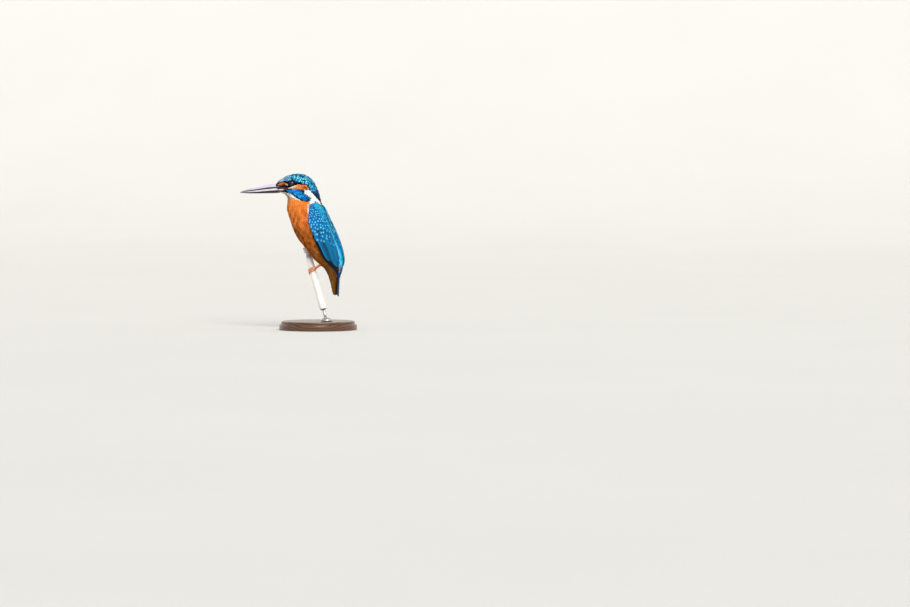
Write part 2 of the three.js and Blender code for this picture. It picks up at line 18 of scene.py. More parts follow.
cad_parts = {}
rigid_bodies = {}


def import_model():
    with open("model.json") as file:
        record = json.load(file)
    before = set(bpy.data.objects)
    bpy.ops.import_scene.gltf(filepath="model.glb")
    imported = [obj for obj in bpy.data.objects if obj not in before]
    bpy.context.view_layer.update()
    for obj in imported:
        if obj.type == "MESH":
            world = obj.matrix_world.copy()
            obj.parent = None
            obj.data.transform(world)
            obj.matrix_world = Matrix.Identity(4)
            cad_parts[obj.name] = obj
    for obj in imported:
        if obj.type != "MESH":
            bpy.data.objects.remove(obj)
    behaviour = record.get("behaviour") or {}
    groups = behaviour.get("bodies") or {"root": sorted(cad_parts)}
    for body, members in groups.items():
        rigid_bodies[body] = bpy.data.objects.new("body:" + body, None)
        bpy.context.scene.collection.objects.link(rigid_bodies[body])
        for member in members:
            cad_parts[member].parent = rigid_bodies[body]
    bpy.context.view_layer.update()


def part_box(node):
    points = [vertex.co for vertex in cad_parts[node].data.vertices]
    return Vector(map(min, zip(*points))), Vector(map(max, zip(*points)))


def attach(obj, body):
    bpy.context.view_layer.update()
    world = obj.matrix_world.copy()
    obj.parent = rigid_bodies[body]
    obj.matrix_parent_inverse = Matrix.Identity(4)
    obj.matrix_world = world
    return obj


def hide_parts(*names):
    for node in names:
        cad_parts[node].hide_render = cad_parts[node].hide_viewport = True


bl_info = {
    "name": "Kingfisher on a reed",
    "version": (1, 0, 0),
    "blender": (4, 5, 0),
    "location": "3D View > Sidebar > Kingfisher",
    "description": "Builds a life-size common kingfisher with a mesh coat of feathers on its stand",
    "category": "Add Mesh",
}

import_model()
MM = 0.001

# ---- Driving dimensions ----

HEAD_TURN = math.radians(8)
NECK_X = -9.3
TURNING_RIBS = (4.2, 7.4)  # between these ribs the head's turn fades out
ROUNDNESS = 2.15  # of the ribs: 2 is an ellipse, and more is squarer

# Back line x and z, belly line x and z, half-width, egg, and the coat's depth at back and belly.
RIBS = {
    "bill_root": (-44.0, 149.4, -38.8, 140.7, 4.5, 0.0, 0.25, 0.25),
    "lores": (-39.6, 154.0, -35.0, 139.5, 7.4, 0.05, 0.45, 0.5),
    "eyes": (-29.6, 159.2, -32.3, 137.2, 10.4, 0.12, 0.6, 0.7),
    "crown": (-17.6, 160.7, -31.4, 133.6, 12.4, 0.15, 0.8, 0.9),
    "occiput": (-6.6, 155.4, -31.9, 129.5, 13.6, 0.1, 0.9, 1.0),
    "nape": (-0.2, 144.4, -32.1, 124.6, 14.3, 0.05, 1.0, 1.1),
    "neck": (2.9, 133.6, -31.0, 119.2, 15.6, 0.0, 1.1, 1.2),
    "shoulder": (6.6, 122.6, -28.6, 111.8, 17.2, -0.05, 1.2, 1.4),
    "breast": (11.8, 111.2, -25.5, 102.7, 17.8, -0.05, 1.2, 1.5),
    "belly": (17.3, 99.3, -20.2, 92.7, 17.0, -0.05, 1.2, 1.6),
    "thighs": (22.1, 87.2, -12.4, 83.4, 14.8, -0.05, 1.2, 1.6),
    "vent": (25.2, 75.2, -4.4, 72.4, 11.2, -0.1, 1.1, 1.5),
    "tail_root": (25.1, 64.9, 5.7, 64.0, 8.4, 0.0, 1.0, 1.4),
    "tail_coverts": (23.0, 53.8, 11.4, 53.6, 6.8, 0.0, 0.8, 1.2),
    "covert_tips": (20.4, 41.4, 14.6, 41.2, 5.0, 0.0, 0.6, 0.8),
    "covert_end": (20.0, 36.0, 16.4, 35.6, 2.8, 0.0, 0.4, 0.5),
}
RIB_LINES = np.array(list(RIBS.values()))
LAST_RIB = len(RIBS) - 1

BILL = {
    "root_x": -34.5,
    "tip_x": -80.0,
    "culmen": ((-34, 147.6), (-44.3, 149.5), (-52, 148.7), (-62, 146.7), (-72, 144.3), (-80.5, 141.7)),
    "gape": ((-33.5, 144.9), (-41.2, 145.6), (-50, 144.9), (-60, 143.7), (-70, 142.5), (-80.5, 141.3)),
    "gonys": ((-33.5, 141.9), (-41.2, 141.0), (-50, 140.7), (-60, 140.5), (-70, 140.4), (-80.5, 140.9)),
    "half_width": 4.4,
    "tip_half_width": 0.35,
}
EYE_RADIUS = 3.4
GAP = 0.3  # between parts that lie close

WING = SimpleNamespace(
    shoulder=6.15,
    tip=12.75,
    back_edge=(40, 16, 12, 11, 11, 12, 15, 24, 44),
    belly_edge=(68, 79, 86, 90, 92, 97, 98, 88, 62),
    twist=(0, 4, 10, 17, 21, 22, 21, 15, 6),  # how far round to the left the back's middle lies
    follow=0.8,  # the share of the twist that the right wing's belly edge follows
    thickness=2.3,
    edge=0.7,
)
COVERTS_END = (0.62, 0.47)  # of the wing's length, at the back's edge and at the belly's

TAIL = SimpleNamespace(
    line=((24.6, 70), (22.9, 58), (22.0, 46), (21.4, 34.4)),
    root_half=4.4,
    tip_half=7.6,
    arch=0.4,
)

REED = SimpleNamespace(
    through=(-13.1, 8.9, 82.4),
    slope=(0.316, -0.2, -1.0),
    top=86.5,
    bottom=21.0,
    radius=2.45,
    node=75.6,
    node_radius=2.95,
    hollow=1.85,
)
SHEATH = SimpleNamespace(top=73.6, inner=2.8, upper=3.3, lower=3.5)

# Hip, ankle and radius.
THIGHS = {
    "left": ((11, -7.5, 82), (5.2, -5.2, 68.2), 5.0),
    "right": ((2.5, 8.5, 95), (-4.6, 9.6, 84.2), 5.2),
}
# Height of the grip, the palm's angle round the reed, the way that the front toes go on from it, the
# radius of what they hold, and how much further they curl.
FEET = {
    "left": {"height": 61.6, "palm": 50, "turn": 1, "core": SHEATH.upper + 0.12, "curl": 0},
    "right": {"height": 83.6, "palm": -42, "turn": -1, "core": REED.radius, "curl": 24},
}
# Rise up the reed at the palm and at the toe's end, angle from the palm to the claw's tip, and radius.
TOES = {
    "inner": ((1.65, 0.7), 132, 0.66),
    "middle": ((0.0, -1.4), 166, 0.68),
    "outer": ((-1.65, -3.4), 152, 0.64),
    "hind": ((0.0, 0.6), -126, 0.72),
}
TOE_START = 27  # degrees round the reed from the palm's middle
CLAW_REACH = 34  # degrees round the reed
PALM = SimpleNamespace(spread=20, half_width=2.3, half_thickness=0.85)

SIDES = {"left": 1, "right": -1}

# ---- Markings of the head, in its own profile: x, z and half-width, in millimetres ----

STROKES = (  # each lies over those before it
    ("throat", (
        (-38.7, 140.9, 0.9), (-30.2, 139.6, 1.9), (-25.9, 137.9, 2.2), (-20.5, 135.2, 1.6), (-16, 133.6, 0.5),
    )),
    ("malar", (
        (-31.4, 143.0, 0.6), (-29.0, 142.8, 1.3), (-25.9, 142.2, 2.4), (-21.2, 140.6, 3.7),
        (-16.2, 138.7, 3.7), (-10.4, 136.1, 2.9), (-5.6, 133.9, 1.5),
    )),
    ("mask", (
        (-38.5, 142.5, 0.7), (-33.5, 142.2, 0.9), (-27, 140, 0.6), (-20.9, 135.8, 0.8), (-16.3, 134.0, 0.9),
        (-9, 132.4, 0.9),
    )),
    ("neck_patch", (
        (-11, 142, 2.3), (-7.5, 140, 2.9), (-3.6, 136.9, 2.6), (-0.2, 133.9, 2.0), (4.0, 130.3, 1.3),
    )),
    ("ear", ((-26.5, 145.7, 0.6), (-21.5, 147.2, 2.2), (-16, 147.2, 3.0), (-11, 146.1, 2.4))),
    ("mask", (
        (-20.5, 151.0, 1.1), (-10.9, 150.1, 1.3), (-8.3, 147.2, 1.3), (-5.8, 143.2, 1.3), (-2.5, 139.6, 1.0),
        (1.1, 135.6, 0.9), (3.8, 132.4, 0.7),
    )),
    ("loral", ((-40.2, 149.6, 0.8), (-37.2, 150.4, 1.7), (-33.9, 150.0, 1.6))),
    ("mask", ((-43, 148.6, 0.7), (-38, 147.6, 0.8), (-33, 147.3, 0.9), (-28.9, 147.8, 1.0))),
    ("pale", ((-31, 145.2, 0.5), (-26, 146.7, 0.85), (-22, 148.5, 0.6))),
    ("pale", ((-32.1, 149.7, 0.9), (-30.7, 149.6, 0.8))),
    ("mask", ((-29.4, 150.8, 1.4), (-22.6, 150.7, 1.6))),
    ("bare", ((-46, 143.4, 2.3), (-38, 144.3, 1.9), (-33, 144.7, 1.1), (-30.5, 145.2, 0.4))),
)
CROWN_EDGE = (
    (-46, 150.6), (-43.3, 150.8), (-39.1, 152.6), (-33, 153.6), (-29, 153.2), (-25, 153.3), (-21.6, 152.2),
    (-18.5, 151.6), (-13.4, 151.0), (-9.3, 148.4), (-6.2, 144.9), (-2.1, 140.4), (1.6, 136.0),
    (5.2, 131.2), (7.5, 128.2),
)
MASK_EDGE = (
    (-46, 142.2), (-38.7, 141.4), (-31, 141.6), (-25.9, 139.3), (-20.7, 135.6), (-16.4, 134), (-9, 132.4),
    (4, 129),
)
MANTLE_EDGE = 62  # degrees from the back's midline


# ---- Lines and places on the body ----


def through(points, t):
    """A smooth line through points, at t = 0 on the first, 1 on the second and so on."""
    p = np.asarray(points, float)
    p = np.vstack([2 * p[0] - p[1], p, 2 * p[-1] - p[-2]])
    t = np.clip(np.asarray(t, float), 0, len(p) - 3)
    i = np.minimum(t.astype(int), len(p) - 4)
    w = (t - i)[..., None]
    a, b, c, d = p[i], p[i + 1], p[i + 2], p[i + 3]
    return b + 0.5 * w * (c - a + w * (2 * a - 5 * b + 4 * c - d + w * (3 * (b - c) + d - a)))


def smoothstep(low, high, value):
    t = np.clip((value - low) / (high - low), 0, 1)
    return t * t * (3 - 2 * t)


def lerp(a, b, t):
    return a + (b - a) * t


def norm(v):
    return np.linalg.norm(v, axis=-1)


def hump(x):
    return np.exp(-(x**2))


def circle(count):
    """Angles evenly all the way round."""
    return np.linspace(0, 2 * np.pi, count, endpoint=False)


def square_to(v, axis):
    """v without its part along a unit axis."""
    return v - np.sum(v * axis, -1, keepdims=True) * axis


def about(axes, start, angle, rise, distance):
    """Points about the last of three axes: rise up it from start, and distance off it at an angle."""
    out, left, up = axes
    way = np.cos(angle)[..., None] * out + np.sin(angle)[..., None] * left
    return start + np.asarray(rise)[..., None] * up + np.asarray(distance)[..., None] * way


def unit(v):
    return v / np.maximum(np.linalg.norm(v, axis=-1, keepdims=True), 1e-12)


def turned(p, angle=HEAD_TURN):
    """p turned about the neck's upright axis, as the head is."""
    x = p[..., 0] - NECK_X
    c, s = np.cos(angle), np.sin(angle)
    return np.stack([NECK_X + x * c - p[..., 1] * s, x * s + p[..., 1] * c, p[..., 2]], -1)


def body_point(s, angle, lift=0.0, turn=True):
    """A point of the coat's outer shape, or lift outside it."""
    s, angle, lift = np.broadcast_arrays(s, angle, lift)
    line = through(RIB_LINES[:, :6], s)
    half, egg = line[..., 4], line[..., 5]
    middle = (line[..., :2] + line[..., 2:4]) / 2
    up = line[..., :2] - middle
    height = norm(up)
    up = unit(up)

    def section(a):
        rise, side = (np.sign(w) * np.abs(w) ** (2 / ROUNDNESS) for w in (np.cos(a), np.sin(a)))
        return height * rise, half * side * (1 - egg * rise)

    (u, v), (u0, v0), (u1, v1) = section(angle), section(angle - 0.01), section(angle + 0.01)
    step = np.hypot(u1 - u0, v1 - v0)
    u = u + (v1 - v0) / step * lift
    v = v - (u1 - u0) / step * lift
    p = np.stack([middle[..., 0] + up[..., 0] * u, -v, middle[..., 1] + up[..., 1] * u], -1)
    return turned(p, HEAD_TURN * (1 - smoothstep(*TURNING_RIBS, s))) if turn else p


def body_frame(s, angle):
    """The place, the way to the tail along the surface, and the way out, on the body."""
    p = body_point(s, angle)
    along = unit(body_point(s + 0.03, angle) - body_point(s - 0.03, angle))
    around = body_point(s, angle + 0.02) - body_point(s, angle - 0.02)
    return p, along, unit(np.cross(around, along))


def coat_depth(s, angle):
    """How far the skin lies inside the coat's outer shape."""
    depth = through(RIB_LINES[:, 6:], s)
    return lerp(depth[..., 0], depth[..., 1], (1 - np.cos(angle)) / 2)


def wing_rib(along):
    """The place in ribs at a share of the wing's length."""
    return lerp(WING.shoulder, WING.tip, along)


def wing_share(s):
    """The share of the wing's length at a place in ribs."""
    return (s - WING.shoulder) / (WING.tip - WING.shoulder)


def wing_angles(along, side):
    """The angles of a wing's back and belly edges, in radians, from the back's ridge to its side."""
    edges = np.radians(np.array([WING.back_edge, WING.belly_edge, WING.twist], float).T)
    back, belly, twist = np.moveaxis(through(edges, np.clip(along, 0, 1) * (len(edges) - 1)), -1, 0)
    return back + side * twist, belly - (side < 0) * WING.follow * twist


def stripe_angle(s):
    """The angle at which the bright stripe down the back has its middle."""
    near, far = (wing_angles(wing_share(s), side)[0] for side in (1, -1))
    return (near - far) / 2


def wing_rise(along, across):
    """How far the wing's outer face stands off the body."""
    swell = np.sqrt(np.clip(4 * across * (1 - across), 0, 1)) ** 0.7 * (1 - 0.45 * along)
    return GAP + WING.edge + (WING.thickness - WING.edge) * swell


def wing_point(along, across, side, lift=0.0):
    """A point on the wing's outer face, lift above it: shares of its length and of its width."""
    along, across, lift = np.broadcast_arrays(along, across, lift)
    near, far = wing_angles(along, side)
    angle = side * lerp(near, far, across)
    return body_point(wing_rib(along), angle, wing_rise(along, across) + lift)


def wing_span(along, side):
    """The wing's width: its chord, and a little more for its curve."""
    return norm(wing_point(along, 1.0, side) - wing_point(along, 0.0, side)) * 1.12


REED_UP = unit(-np.array(REED.slope))
REED_OUT = unit(square_to(np.array((1.0, 0, 0)), REED_UP))
REED_LEFT = np.cross(REED_OUT, REED_UP)
REED_AXES = (REED_OUT, REED_LEFT, REED_UP)


def reed_point(height):
    """The middle of the reed at a height."""
    drop = REED.through[2] - np.asarray(height, float)
    return np.array(REED.through) + drop[..., None] * np.array(REED.slope)


def grip_point(foot, angle, rise, distance):
    """A point near the reed, round in degrees from the bird's side of it towards the bird's left."""
    return about(REED_AXES, reed_point(foot["height"]), np.radians(angle), rise, distance)


def off_reed(p):
    """The way from the reed's axis to p, and how far p is from it."""
    away = square_to(p - np.array(REED.through), REED_UP)
    return unit(away), norm(away)


def height_up_reed(points):
    """How far points are up the reed from its foot."""
    return (points - reed_point(REED.bottom)) @ REED_UP


# ---- Which plumage grows where ----

REGIONS = (
    "crown", "nape", "mask", "malar", "ear", "loral", "pale", "neck_patch", "throat",
    "breast", "belly", "mantle", "back", "rump", "undertail", "bare",
)
REGION = {name: i for i, name in enumerate(REGIONS)}


def outside_stroke(x, z, stroke):
    """How far a place in the profile lies outside a tapering stroke."""
    best = 1e9
    for (x0, z0, r0), (x1, z1, r1) in zip(stroke, stroke[1:]):
        dx, dz = x1 - x0, z1 - z0
        t = np.clip(((x - x0) * dx + (z - z0) * dz) / (dx * dx + dz * dz), 0, 1)
        best = np.minimum(best, np.hypot(x - x0 - t * dx, z - z0 - t * dz) - lerp(r0, r1, t))
    return best


def above(x, z, edge):
    """Whether a place in the profile lies above a line."""
    return z > np.interp(x, *zip(*edge))


def region_at(s, angle):
    """The number of the region of plumage at a place on the body."""
    p = body_point(s, angle, turn=False)
    x, z = p[..., 0], p[..., 2]
    degrees = np.degrees(np.abs(np.arctan2(np.sin(angle), np.cos(angle))))
    where = np.full(np.shape(s), REGION["breast"])

    def mark(name, here):
        where[here] = REGION[name]

    mark("belly", s > 8.9)
    upper = degrees < np.interp(s, [6, 7, 12, 13, 15], [MANTLE_EDGE, MANTLE_EDGE, 66, 52, 52])
    for name, start in (("mantle", 6.1), ("back", 7.6), ("rump", 11.6)):
        mark(name, (s > start) & upper)
    mark("undertail", (s > 11.7) & ~upper)
    mark("bare", (s > 12.9) & (degrees < 78))
    mark("mask", (s < 6.4) & above(x, z, MASK_EDGE) & (degrees < 135))
    mark("throat", (s < 1.5) & (degrees > 118))
    strip = np.interp(z, (128, 134, 142), (8, 13, 24))
    side_on = (degrees > strip) & (degrees < 150)
    for name, stroke in STROKES:
        mark(name, (s < 8.2) & side_on & (outside_stroke(x, z, stroke) < 0))
    front = np.linspace(0, 0.1, 4)
    edge = body_point(wing_rib(front), wing_angles(front, 1)[1], turn=False)
    edge = [(q[0], q[2], 1.5 - 10 * share) for share, q in zip(front, edge)]
    edge = [(-3.6, 135.4, 2.0), (-4.7, 131.6, 2.6), *edge]
    mark("neck_patch", (s < 8.9) & side_on & (outside_stroke(x, z, edge) < 0))
    crown = (s < 6.6) & above(x, z, CROWN_EDGE)
    mark("crown", crown)
    mark("nape", (crown & (s > 4.9)) | ((np.abs(s - 6.1) < 0.4) & (degrees < strip)))
    return where


# ---- Sizes and colours that a user can change ----


def linear(red, green, blue):
    """A screen colour, 0 to 255, as Blender's linear colour."""
    share = np.array((red, green, blue)) / 255
    return tuple(np.where(share > 0.04045, ((share + 0.055) / 1.055) ** 2.4, share / 12.92))


def measure(name, description, default, **settings):
    return bpy.props.FloatProperty(name=name, description=description, default=default, **settings)


def colour(name, description, default):
    return bpy.props.FloatVectorProperty(
        name=name, description=description, default=linear(*default), subtype="COLOR", min=0, max=1
    )


class KingfisherColours(bpy.types.PropertyGroup):
    """Colours of the plumage and of the bare parts."""

    crown: colour("Crown", "Dark ground of the crown and nape", (0, 80, 124))
    crown_spot: colour("Crown spots", "Bright bars across the crown's feathers", (136, 236, 255))
    # painted highlight: a paler ground over the bill's root, where light catches the forehead
    forehead_highlight: colour("Forehead", "Paler ground over the bill's root", (146, 180, 198))
    mask: colour("Mask", "Lore line, eye ring and band behind the ear", (9, 12, 20))
    malar: colour("Malar streak", "Blue streak behind the bill", (0, 116, 214))
    malar_spot: colour("Malar spots", "Bright bars in the malar streak", (60, 190, 255))
    ear: colour("Ear coverts", "Rufous patch behind the eye", (250, 156, 88))
    white: colour("White patches", "Neck patch and throat", (252, 251, 248))
    breast: colour("Breast", "Orange of the breast", (246, 142, 60))
    # partly the belly's own deeper orange, partly painted shade of the underside
    belly: colour("Belly", "Deeper orange of the belly and flanks", (146, 76, 14))
    undertail: colour("Undertail", "Orange-brown of the undertail coverts", (128, 84, 30))
    mantle: colour("Mantle", "Greenish blue of the shoulders", (22, 156, 202))
    azure: colour("Back", "Bright azure of the back and rump", (16, 182, 242))
    azure_spot: colour("Back highlights", "Paler tips of the back's feathers", (110, 222, 255))
    wing: colour("Wing coverts", "Blue of the folded wing", (2, 108, 170))
    wing_spot: colour("Wing spots", "Bright spots of the wing coverts", (130, 222, 255))
    quill: colour("Flight feathers", "Dark vanes of wing and tail", (7, 11, 17))
    quill_edge: colour("Flight feather edges", "Blue outer vanes of wing and tail", (6, 104, 148))
    bill: colour("Bill", "Horn of the bill", (34, 31, 40))
    foot: colour("Feet", "Scaled skin of the feet", (252, 148, 104))
    reed: colour("Reed", "Dry reed stem", (250, 249, 246))
    wood: colour("Stand", "Turned wood of the stand", (92, 58, 36))


def palette():
    """The scene's colours, each an array, by their names."""
    colours = bpy.context.scene.kingfisher_colours
    return SimpleNamespace(**{name: np.array(getattr(colours, name)) for name in colours.__annotations__})


class KingfisherCoat(bpy.types.PropertyGroup):
    """How the coat of feathers is grown."""

    seed: bpy.props.IntProperty(name="Seed", description="Changes every random draw", default=7, min=0)
    spacing: measure("Spacing", "Share of the usual gaps between feathers", 1.0, min=0.7, subtype="FACTOR")
    length: measure("Length", "Share of the feathers' usual length", 1.0, min=0.5, subtype="FACTOR")
    patch: measure("Colour patch", "Side of a tuft's place on OFBake", 0.003, min=0.001, subtype="FACTOR")


class KingfisherStage(bpy.types.PropertyGroup):
    """Floor, light and camera."""

    floor: colour("Floor", "Plain pale floor and backdrop", (213, 212, 208))
    distance: measure("Distance", "From the camera to the bird", 4.0, unit="LENGTH", min=1)
    azimuth: measure("Azimuth", "How far round the camera stands", math.radians(8), subtype="ANGLE")
    elevation: measure("Elevation", "How far up the camera stands", math.radians(2.5), subtype="ANGLE")
    width: measure("View width", "Width of the view at the bird", 0.937, unit="LENGTH", min=0.1)
    right: measure("Aim right", "From the stand right to the view's middle", 0.141, unit="LENGTH")
    up: measure("Aim up", "Height of the view's middle at the bird", 0.027, unit="LENGTH")


# ---- Meshes ----


def loft(rings):
    """Points and faces of a closed skin over rings of points; its faces point outwards."""
    count, around = rings.shape[:2]
    j = np.arange(around)
    k = (j + 1) % around
    start = np.arange(0, (count - 1) * around, around)[:, None]
    sides = np.stack([start + j, start + k, start + around + k, start + around + j], -1)
    last, hub = (count - 1) * around, count * around
    ends = [[hub, int(b), int(a)] for a, b in zip(j, k)]
    ends += [[hub + 1, int(last + a), int(last + b)] for a, b in zip(j, k)]
    points = np.vstack([rings.reshape(-1, 3), rings[0].mean(0), rings[-1].mean(0)])
    return facing_out(points, sides.reshape(-1, 4).tolist() + ends)


def facing_out(points, faces):
    corners = np.array([f[:3] for f in faces])
    quads = np.array([[f[0], f[2], f[3]] for f in faces if len(f) == 4]).reshape(-1, 3)
    corners = np.vstack([corners, quads])
    a, b, c = points[corners[:, 0]], points[corners[:, 1]], points[corners[:, 2]]
    if np.einsum("ij,ij->", a, np.cross(b, c)) < 0:
        faces = [f[::-1] for f in faces]
    return points, faces


def joined(parts):
    """Several (points, faces) as one."""
    points, faces = [], []
    for part, part_faces in parts:
        start = sum(map(len, points))
        points.append(part)
        faces += [[i + start for i in face] for face in part_faces]
    return np.vstack(points), faces


def make_mesh(name, points, faces, values=None):
    """A smooth mesh in metres. values are attributes of its points: numbers, places or colours."""
    mesh = bpy.data.meshes.new(name)
    mesh.from_pydata(np.asarray(points) * MM, [], faces)
    for key, given in (values or {}).items():
        kind = {1: "FLOAT", 3: "FLOAT_VECTOR", 4: "FLOAT_COLOR"}[np.size(given) // len(given)]
        store(mesh, key, kind, given)
    mesh.polygons.foreach_set("use_smooth", np.full(len(mesh.polygons), True))
    mesh.update()
    return mesh


def store(mesh, key, kind, values, domain="POINT"):
    field = {"FLOAT_VECTOR": "vector", "FLOAT_COLOR": "color", "FLOAT2": "vector"}.get(kind, "value")
    made = mesh.attributes.new(key, kind, domain)
    made.data.foreach_set(field, np.ravel(values).astype(np.int32 if kind == "INT" else np.float32))


def fetched(items, key, width=1, kind=float):
    """One field of a mesh's points, faces or corners, as an array."""
    flat = np.empty(len(items) * width, kind)
    items.foreach_get(key, flat)
    return flat.reshape(-1, width).squeeze()


def opaque(colours):
    return np.append(np.clip(colours, 0, 1), np.ones((len(colours), 1)), 1)


def link(name, mesh):
    piece = bpy.data.objects.new(name, mesh)
    bpy.context.scene.collection.objects.link(piece)
    return piece


def finish_piece(piece, material, replaces):
    """Gives a piece its material and its place in the frame."""
    piece.data.materials.clear()
    piece.data.materials.append(material)
    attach(piece, "root")
    if replaces:
        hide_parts(*replaces)


def make_piece(name, shape, material, replaces=(), values=None):
    finish_piece(link(name, make_mesh(name, *shape, values)), material, replaces)


def applied(piece):
    """Turns a piece with modifiers into a plain mesh."""
    graph = bpy.context.evaluated_depsgraph_get()
    evaluated = piece.evaluated_get(graph)
    mesh = bpy.data.meshes.new_from_object(evaluated, preserve_all_data_layers=True, depsgraph=graph)
    old = piece.data
    piece.modifiers.clear()
    piece.data = mesh
    mesh.name = piece.name
    bpy.data.meshes.remove(old)
    return piece


def remeshed(name, shape, voxel, smoothing):
    """One closed, smooth mesh round overlapping shapes."""
    piece = link(name, make_mesh(name, *shape))
    remesh = piece.modifiers.new("remesh", "REMESH")
    remesh.mode = "VOXEL"
    remesh.voxel_size = voxel * MM
    remesh.use_smooth_shade = True
    soften = piece.modifiers.new("soften", "SMOOTH")
    soften.factor = 0.5
    soften.iterations = smoothing
    return applied(piece)


def bar(points, outward, wide, thick, sides=16):
    """A bar along points with its own half-sizes at each, and rounded ends."""
    points = np.asarray(points, float)
    ahead = np.vstack([points[1:], points[-1:]])
    behind = np.vstack([points[:1], points[:-1]])
    tangent = unit(ahead - behind)
    out = unit(square_to(outward, tangent))
    across = np.cross(tangent, out)
    a = circle(sides)[None, :, None]
    wide, thick = (np.broadcast_to(x, len(points))[:, None, None] for x in (wide, thick))
    rings = points[:, None] + out[:, None] * np.cos(a) * thick + across[:, None] * np.sin(a) * wide
    return loft(rings)


# ---- Materials ----


def node(tree, kind, inputs=None, **settings):
    """Adds a node. inputs gives its sockets' links or values, and settings its other choices."""
    tree = tree.socket.id_data if isinstance(tree, Value) else tree
    made = tree.nodes.new(kind)
    for key, choice in settings.items():
        setattr(made, key, choice)
    for key, given in (inputs or {}).items():
        if isinstance(given, Value):
            tree.links.new(given.socket, made.inputs[key])
        else:
            made.inputs[key].default_value = given
    return made


class Value:
    """What a node gives. Arithmetic on it adds maths nodes to its tree."""

    def __init__(self, socket):
        self.socket = socket

    def maths(self, operation, *others):
        inputs = dict(enumerate((self, *others)))
        return value(self, "ShaderNodeMath", inputs, operation=operation)

    def __add__(self, other):
        return self.maths("ADD", other)

    def __sub__(self, other):
        return self.maths("SUBTRACT", other)

    def __mul__(self, other):
        return self.maths("MULTIPLY", other)

    def __truediv__(self, other):
        return self.maths("DIVIDE", other)


def value(tree, kind, inputs=None, output=0, **settings):
    """Adds a node and gives one of its outputs. tree may be a value in that tree."""
    return Value(node(tree, kind, inputs, **settings).outputs[output])


def vectors(operation, a, b=(0, 0, 0)):
    output = "Value" if operation == "LENGTH" else "Vector"
    return value(a, "ShaderNodeVectorMath", {0: a, 1: b}, output, operation=operation)


def scaled(vector, factor):
    return value(vector, "ShaderNodeVectorMath", {0: vector, "Scale": factor}, operation="SCALE")


def ranged(given, low, high, to_low=0.0, to_high=1.0, smooth=True):
    kind = "SMOOTHSTEP" if smooth else "LINEAR"
    inputs = {"Value": given, "From Min": low, "From Max": high, "To Min": to_low, "To Max": to_high}
    return value(given, "ShaderNodeMapRange", inputs, interpolation_type=kind)


def mixed(factor, a, b):
    """From a to b by factor; each is a value, or three numbers for a plain colour."""
    a, b = (colour if isinstance(colour, Value) else (*colour, 1.0) for colour in (a, b))
    return value(factor, "ShaderNodeMix", {0: factor, 6: a, 7: b}, 2, data_type="RGBA")


def attribute(tree, name, output="Fac"):
    return value(tree, "ShaderNodeAttribute", output=output, attribute_name=name)


def noise(vector, scale, detail=3.0, roughness=0.55):
    inputs = {"Vector": vector, "Scale": scale, "Detail": detail, "Roughness": roughness}
    return value(vector, "ShaderNodeTexNoise", inputs, "Fac")


def object_place(tree):
    return value(tree, "ShaderNodeTexCoord", output="Object")


def stretched(place, *factors):
    return vectors("MULTIPLY", place, factors)


def material(name, build, **settings):
    """A material named name, made once. build(tree) gives its colour and its bump's height."""
    if name in bpy.data.materials:
        return bpy.data.materials[name]
    made = bpy.data.materials.new(name)
    made.use_nodes = True
    tree = made.node_tree
    shader = tree.nodes["Principled BSDF"]
    bump = settings.pop("bump", 0.0)
    for key, choice in settings.items():
        shader.inputs[key.replace("_", " ")].default_value = choice
    base, height = build(tree)
    tree.links.new(base.socket, shader.inputs["Base Color"])
    if height is not None:
        inputs = {"Height": height, "Strength": 1.0, "Distance": bump * MM}
        ripple = value(tree, "ShaderNodeBump", inputs, "Normal")
        tree.links.new(ripple.socket, shader.inputs["Normal"])
    return made


def vane_values(tree):
    """A feather's own measures and colours, as its points carry them."""
    along, across, mark = (attribute(tree, name) for name in ("along", "across", "mark"))
    tint, spark = (attribute(tree, name, "Color") for name in ("tint", "spark"))
    return along, across, across.maths("ABSOLUTE"), mark, tint, spark


def plumage_material(name, spot, roughness=0.6, root=0.7):
    """Feathers: a tint that darkens towards the root, partly for the greyer down there and partly as painted
    shade among the overlapping feathers, a bright spot, a shaft and fine barbs.

    spot is its place along the feather, its half-length and its half-width.
    """

    def build(tree):
        along, across, side, mark, tint, spark = vane_values(tree)
        off_spot = {"X": across / spot[2], "Y": (along - spot[0]) / spot[1]}
        where = value(tree, "ShaderNodeCombineXYZ", off_spot)
        inside = ranged(vectors("LENGTH", where), 1.15, 0.65) * mark
        barb = (side * 26.0 + along * 150.0).maths("SINE")
        shaft = ranged(side, 0.0, 0.14, 0.86, 1.0)
        grain = ranged(noise(object_place(tree), 620.0), 0.25, 0.75, 0.8, 1.18, smooth=False)
        # painted shade: light falls to root at the feather's base, partly for the greyer down, partly for the
        # shadow of the feathers above
        light = ranged(along, 0.0, 0.55, root, 1.0) * shaft * grain * (barb * 0.055 + 1.0)
        return scaled(mixed(inside, tint, spark), light), barb * 0.35 - shaft * 2.0

    return material(name, build, Roughness=roughness, Specular_IOR_Level=0.07, bump=0.05)


def quill_material():
    """Long feathers of wing and tail: dark inner vane, blue outer vane, shaft and slanting barbs."""

    def build(tree):
        along, across, side, mark, tint, spark = vane_values(tree)
        wave = noise(object_place(tree), 160.0)
        colour_here = mixed(ranged(wave * 0.3 + across, -0.05, 0.4) * mark, tint, spark)
        fringe = ranged(across, 0.76, 0.85) * ranged(across, 0.97, 0.9) * mark * wave
        colour_here = mixed(fringe, colour_here, scaled(spark, 2.2))
        barb = (side * 30.0 + along * 420.0).maths("SINE")
        grain = ranged(noise(object_place(tree), 700.0), 0.25, 0.75, 0.82, 1.15, smooth=False)
        light = ranged(side, 0.86, 1.0, 1.0, 0.5) * ranged(side, 0.02, 0.09, 0.45, 1.0)
        return scaled(colour_here, light * grain * (barb * 0.09 + 1.0)), barb

    return material("quill", build, Roughness=0.42, Specular_IOR_Level=0.14, bump=0.02)


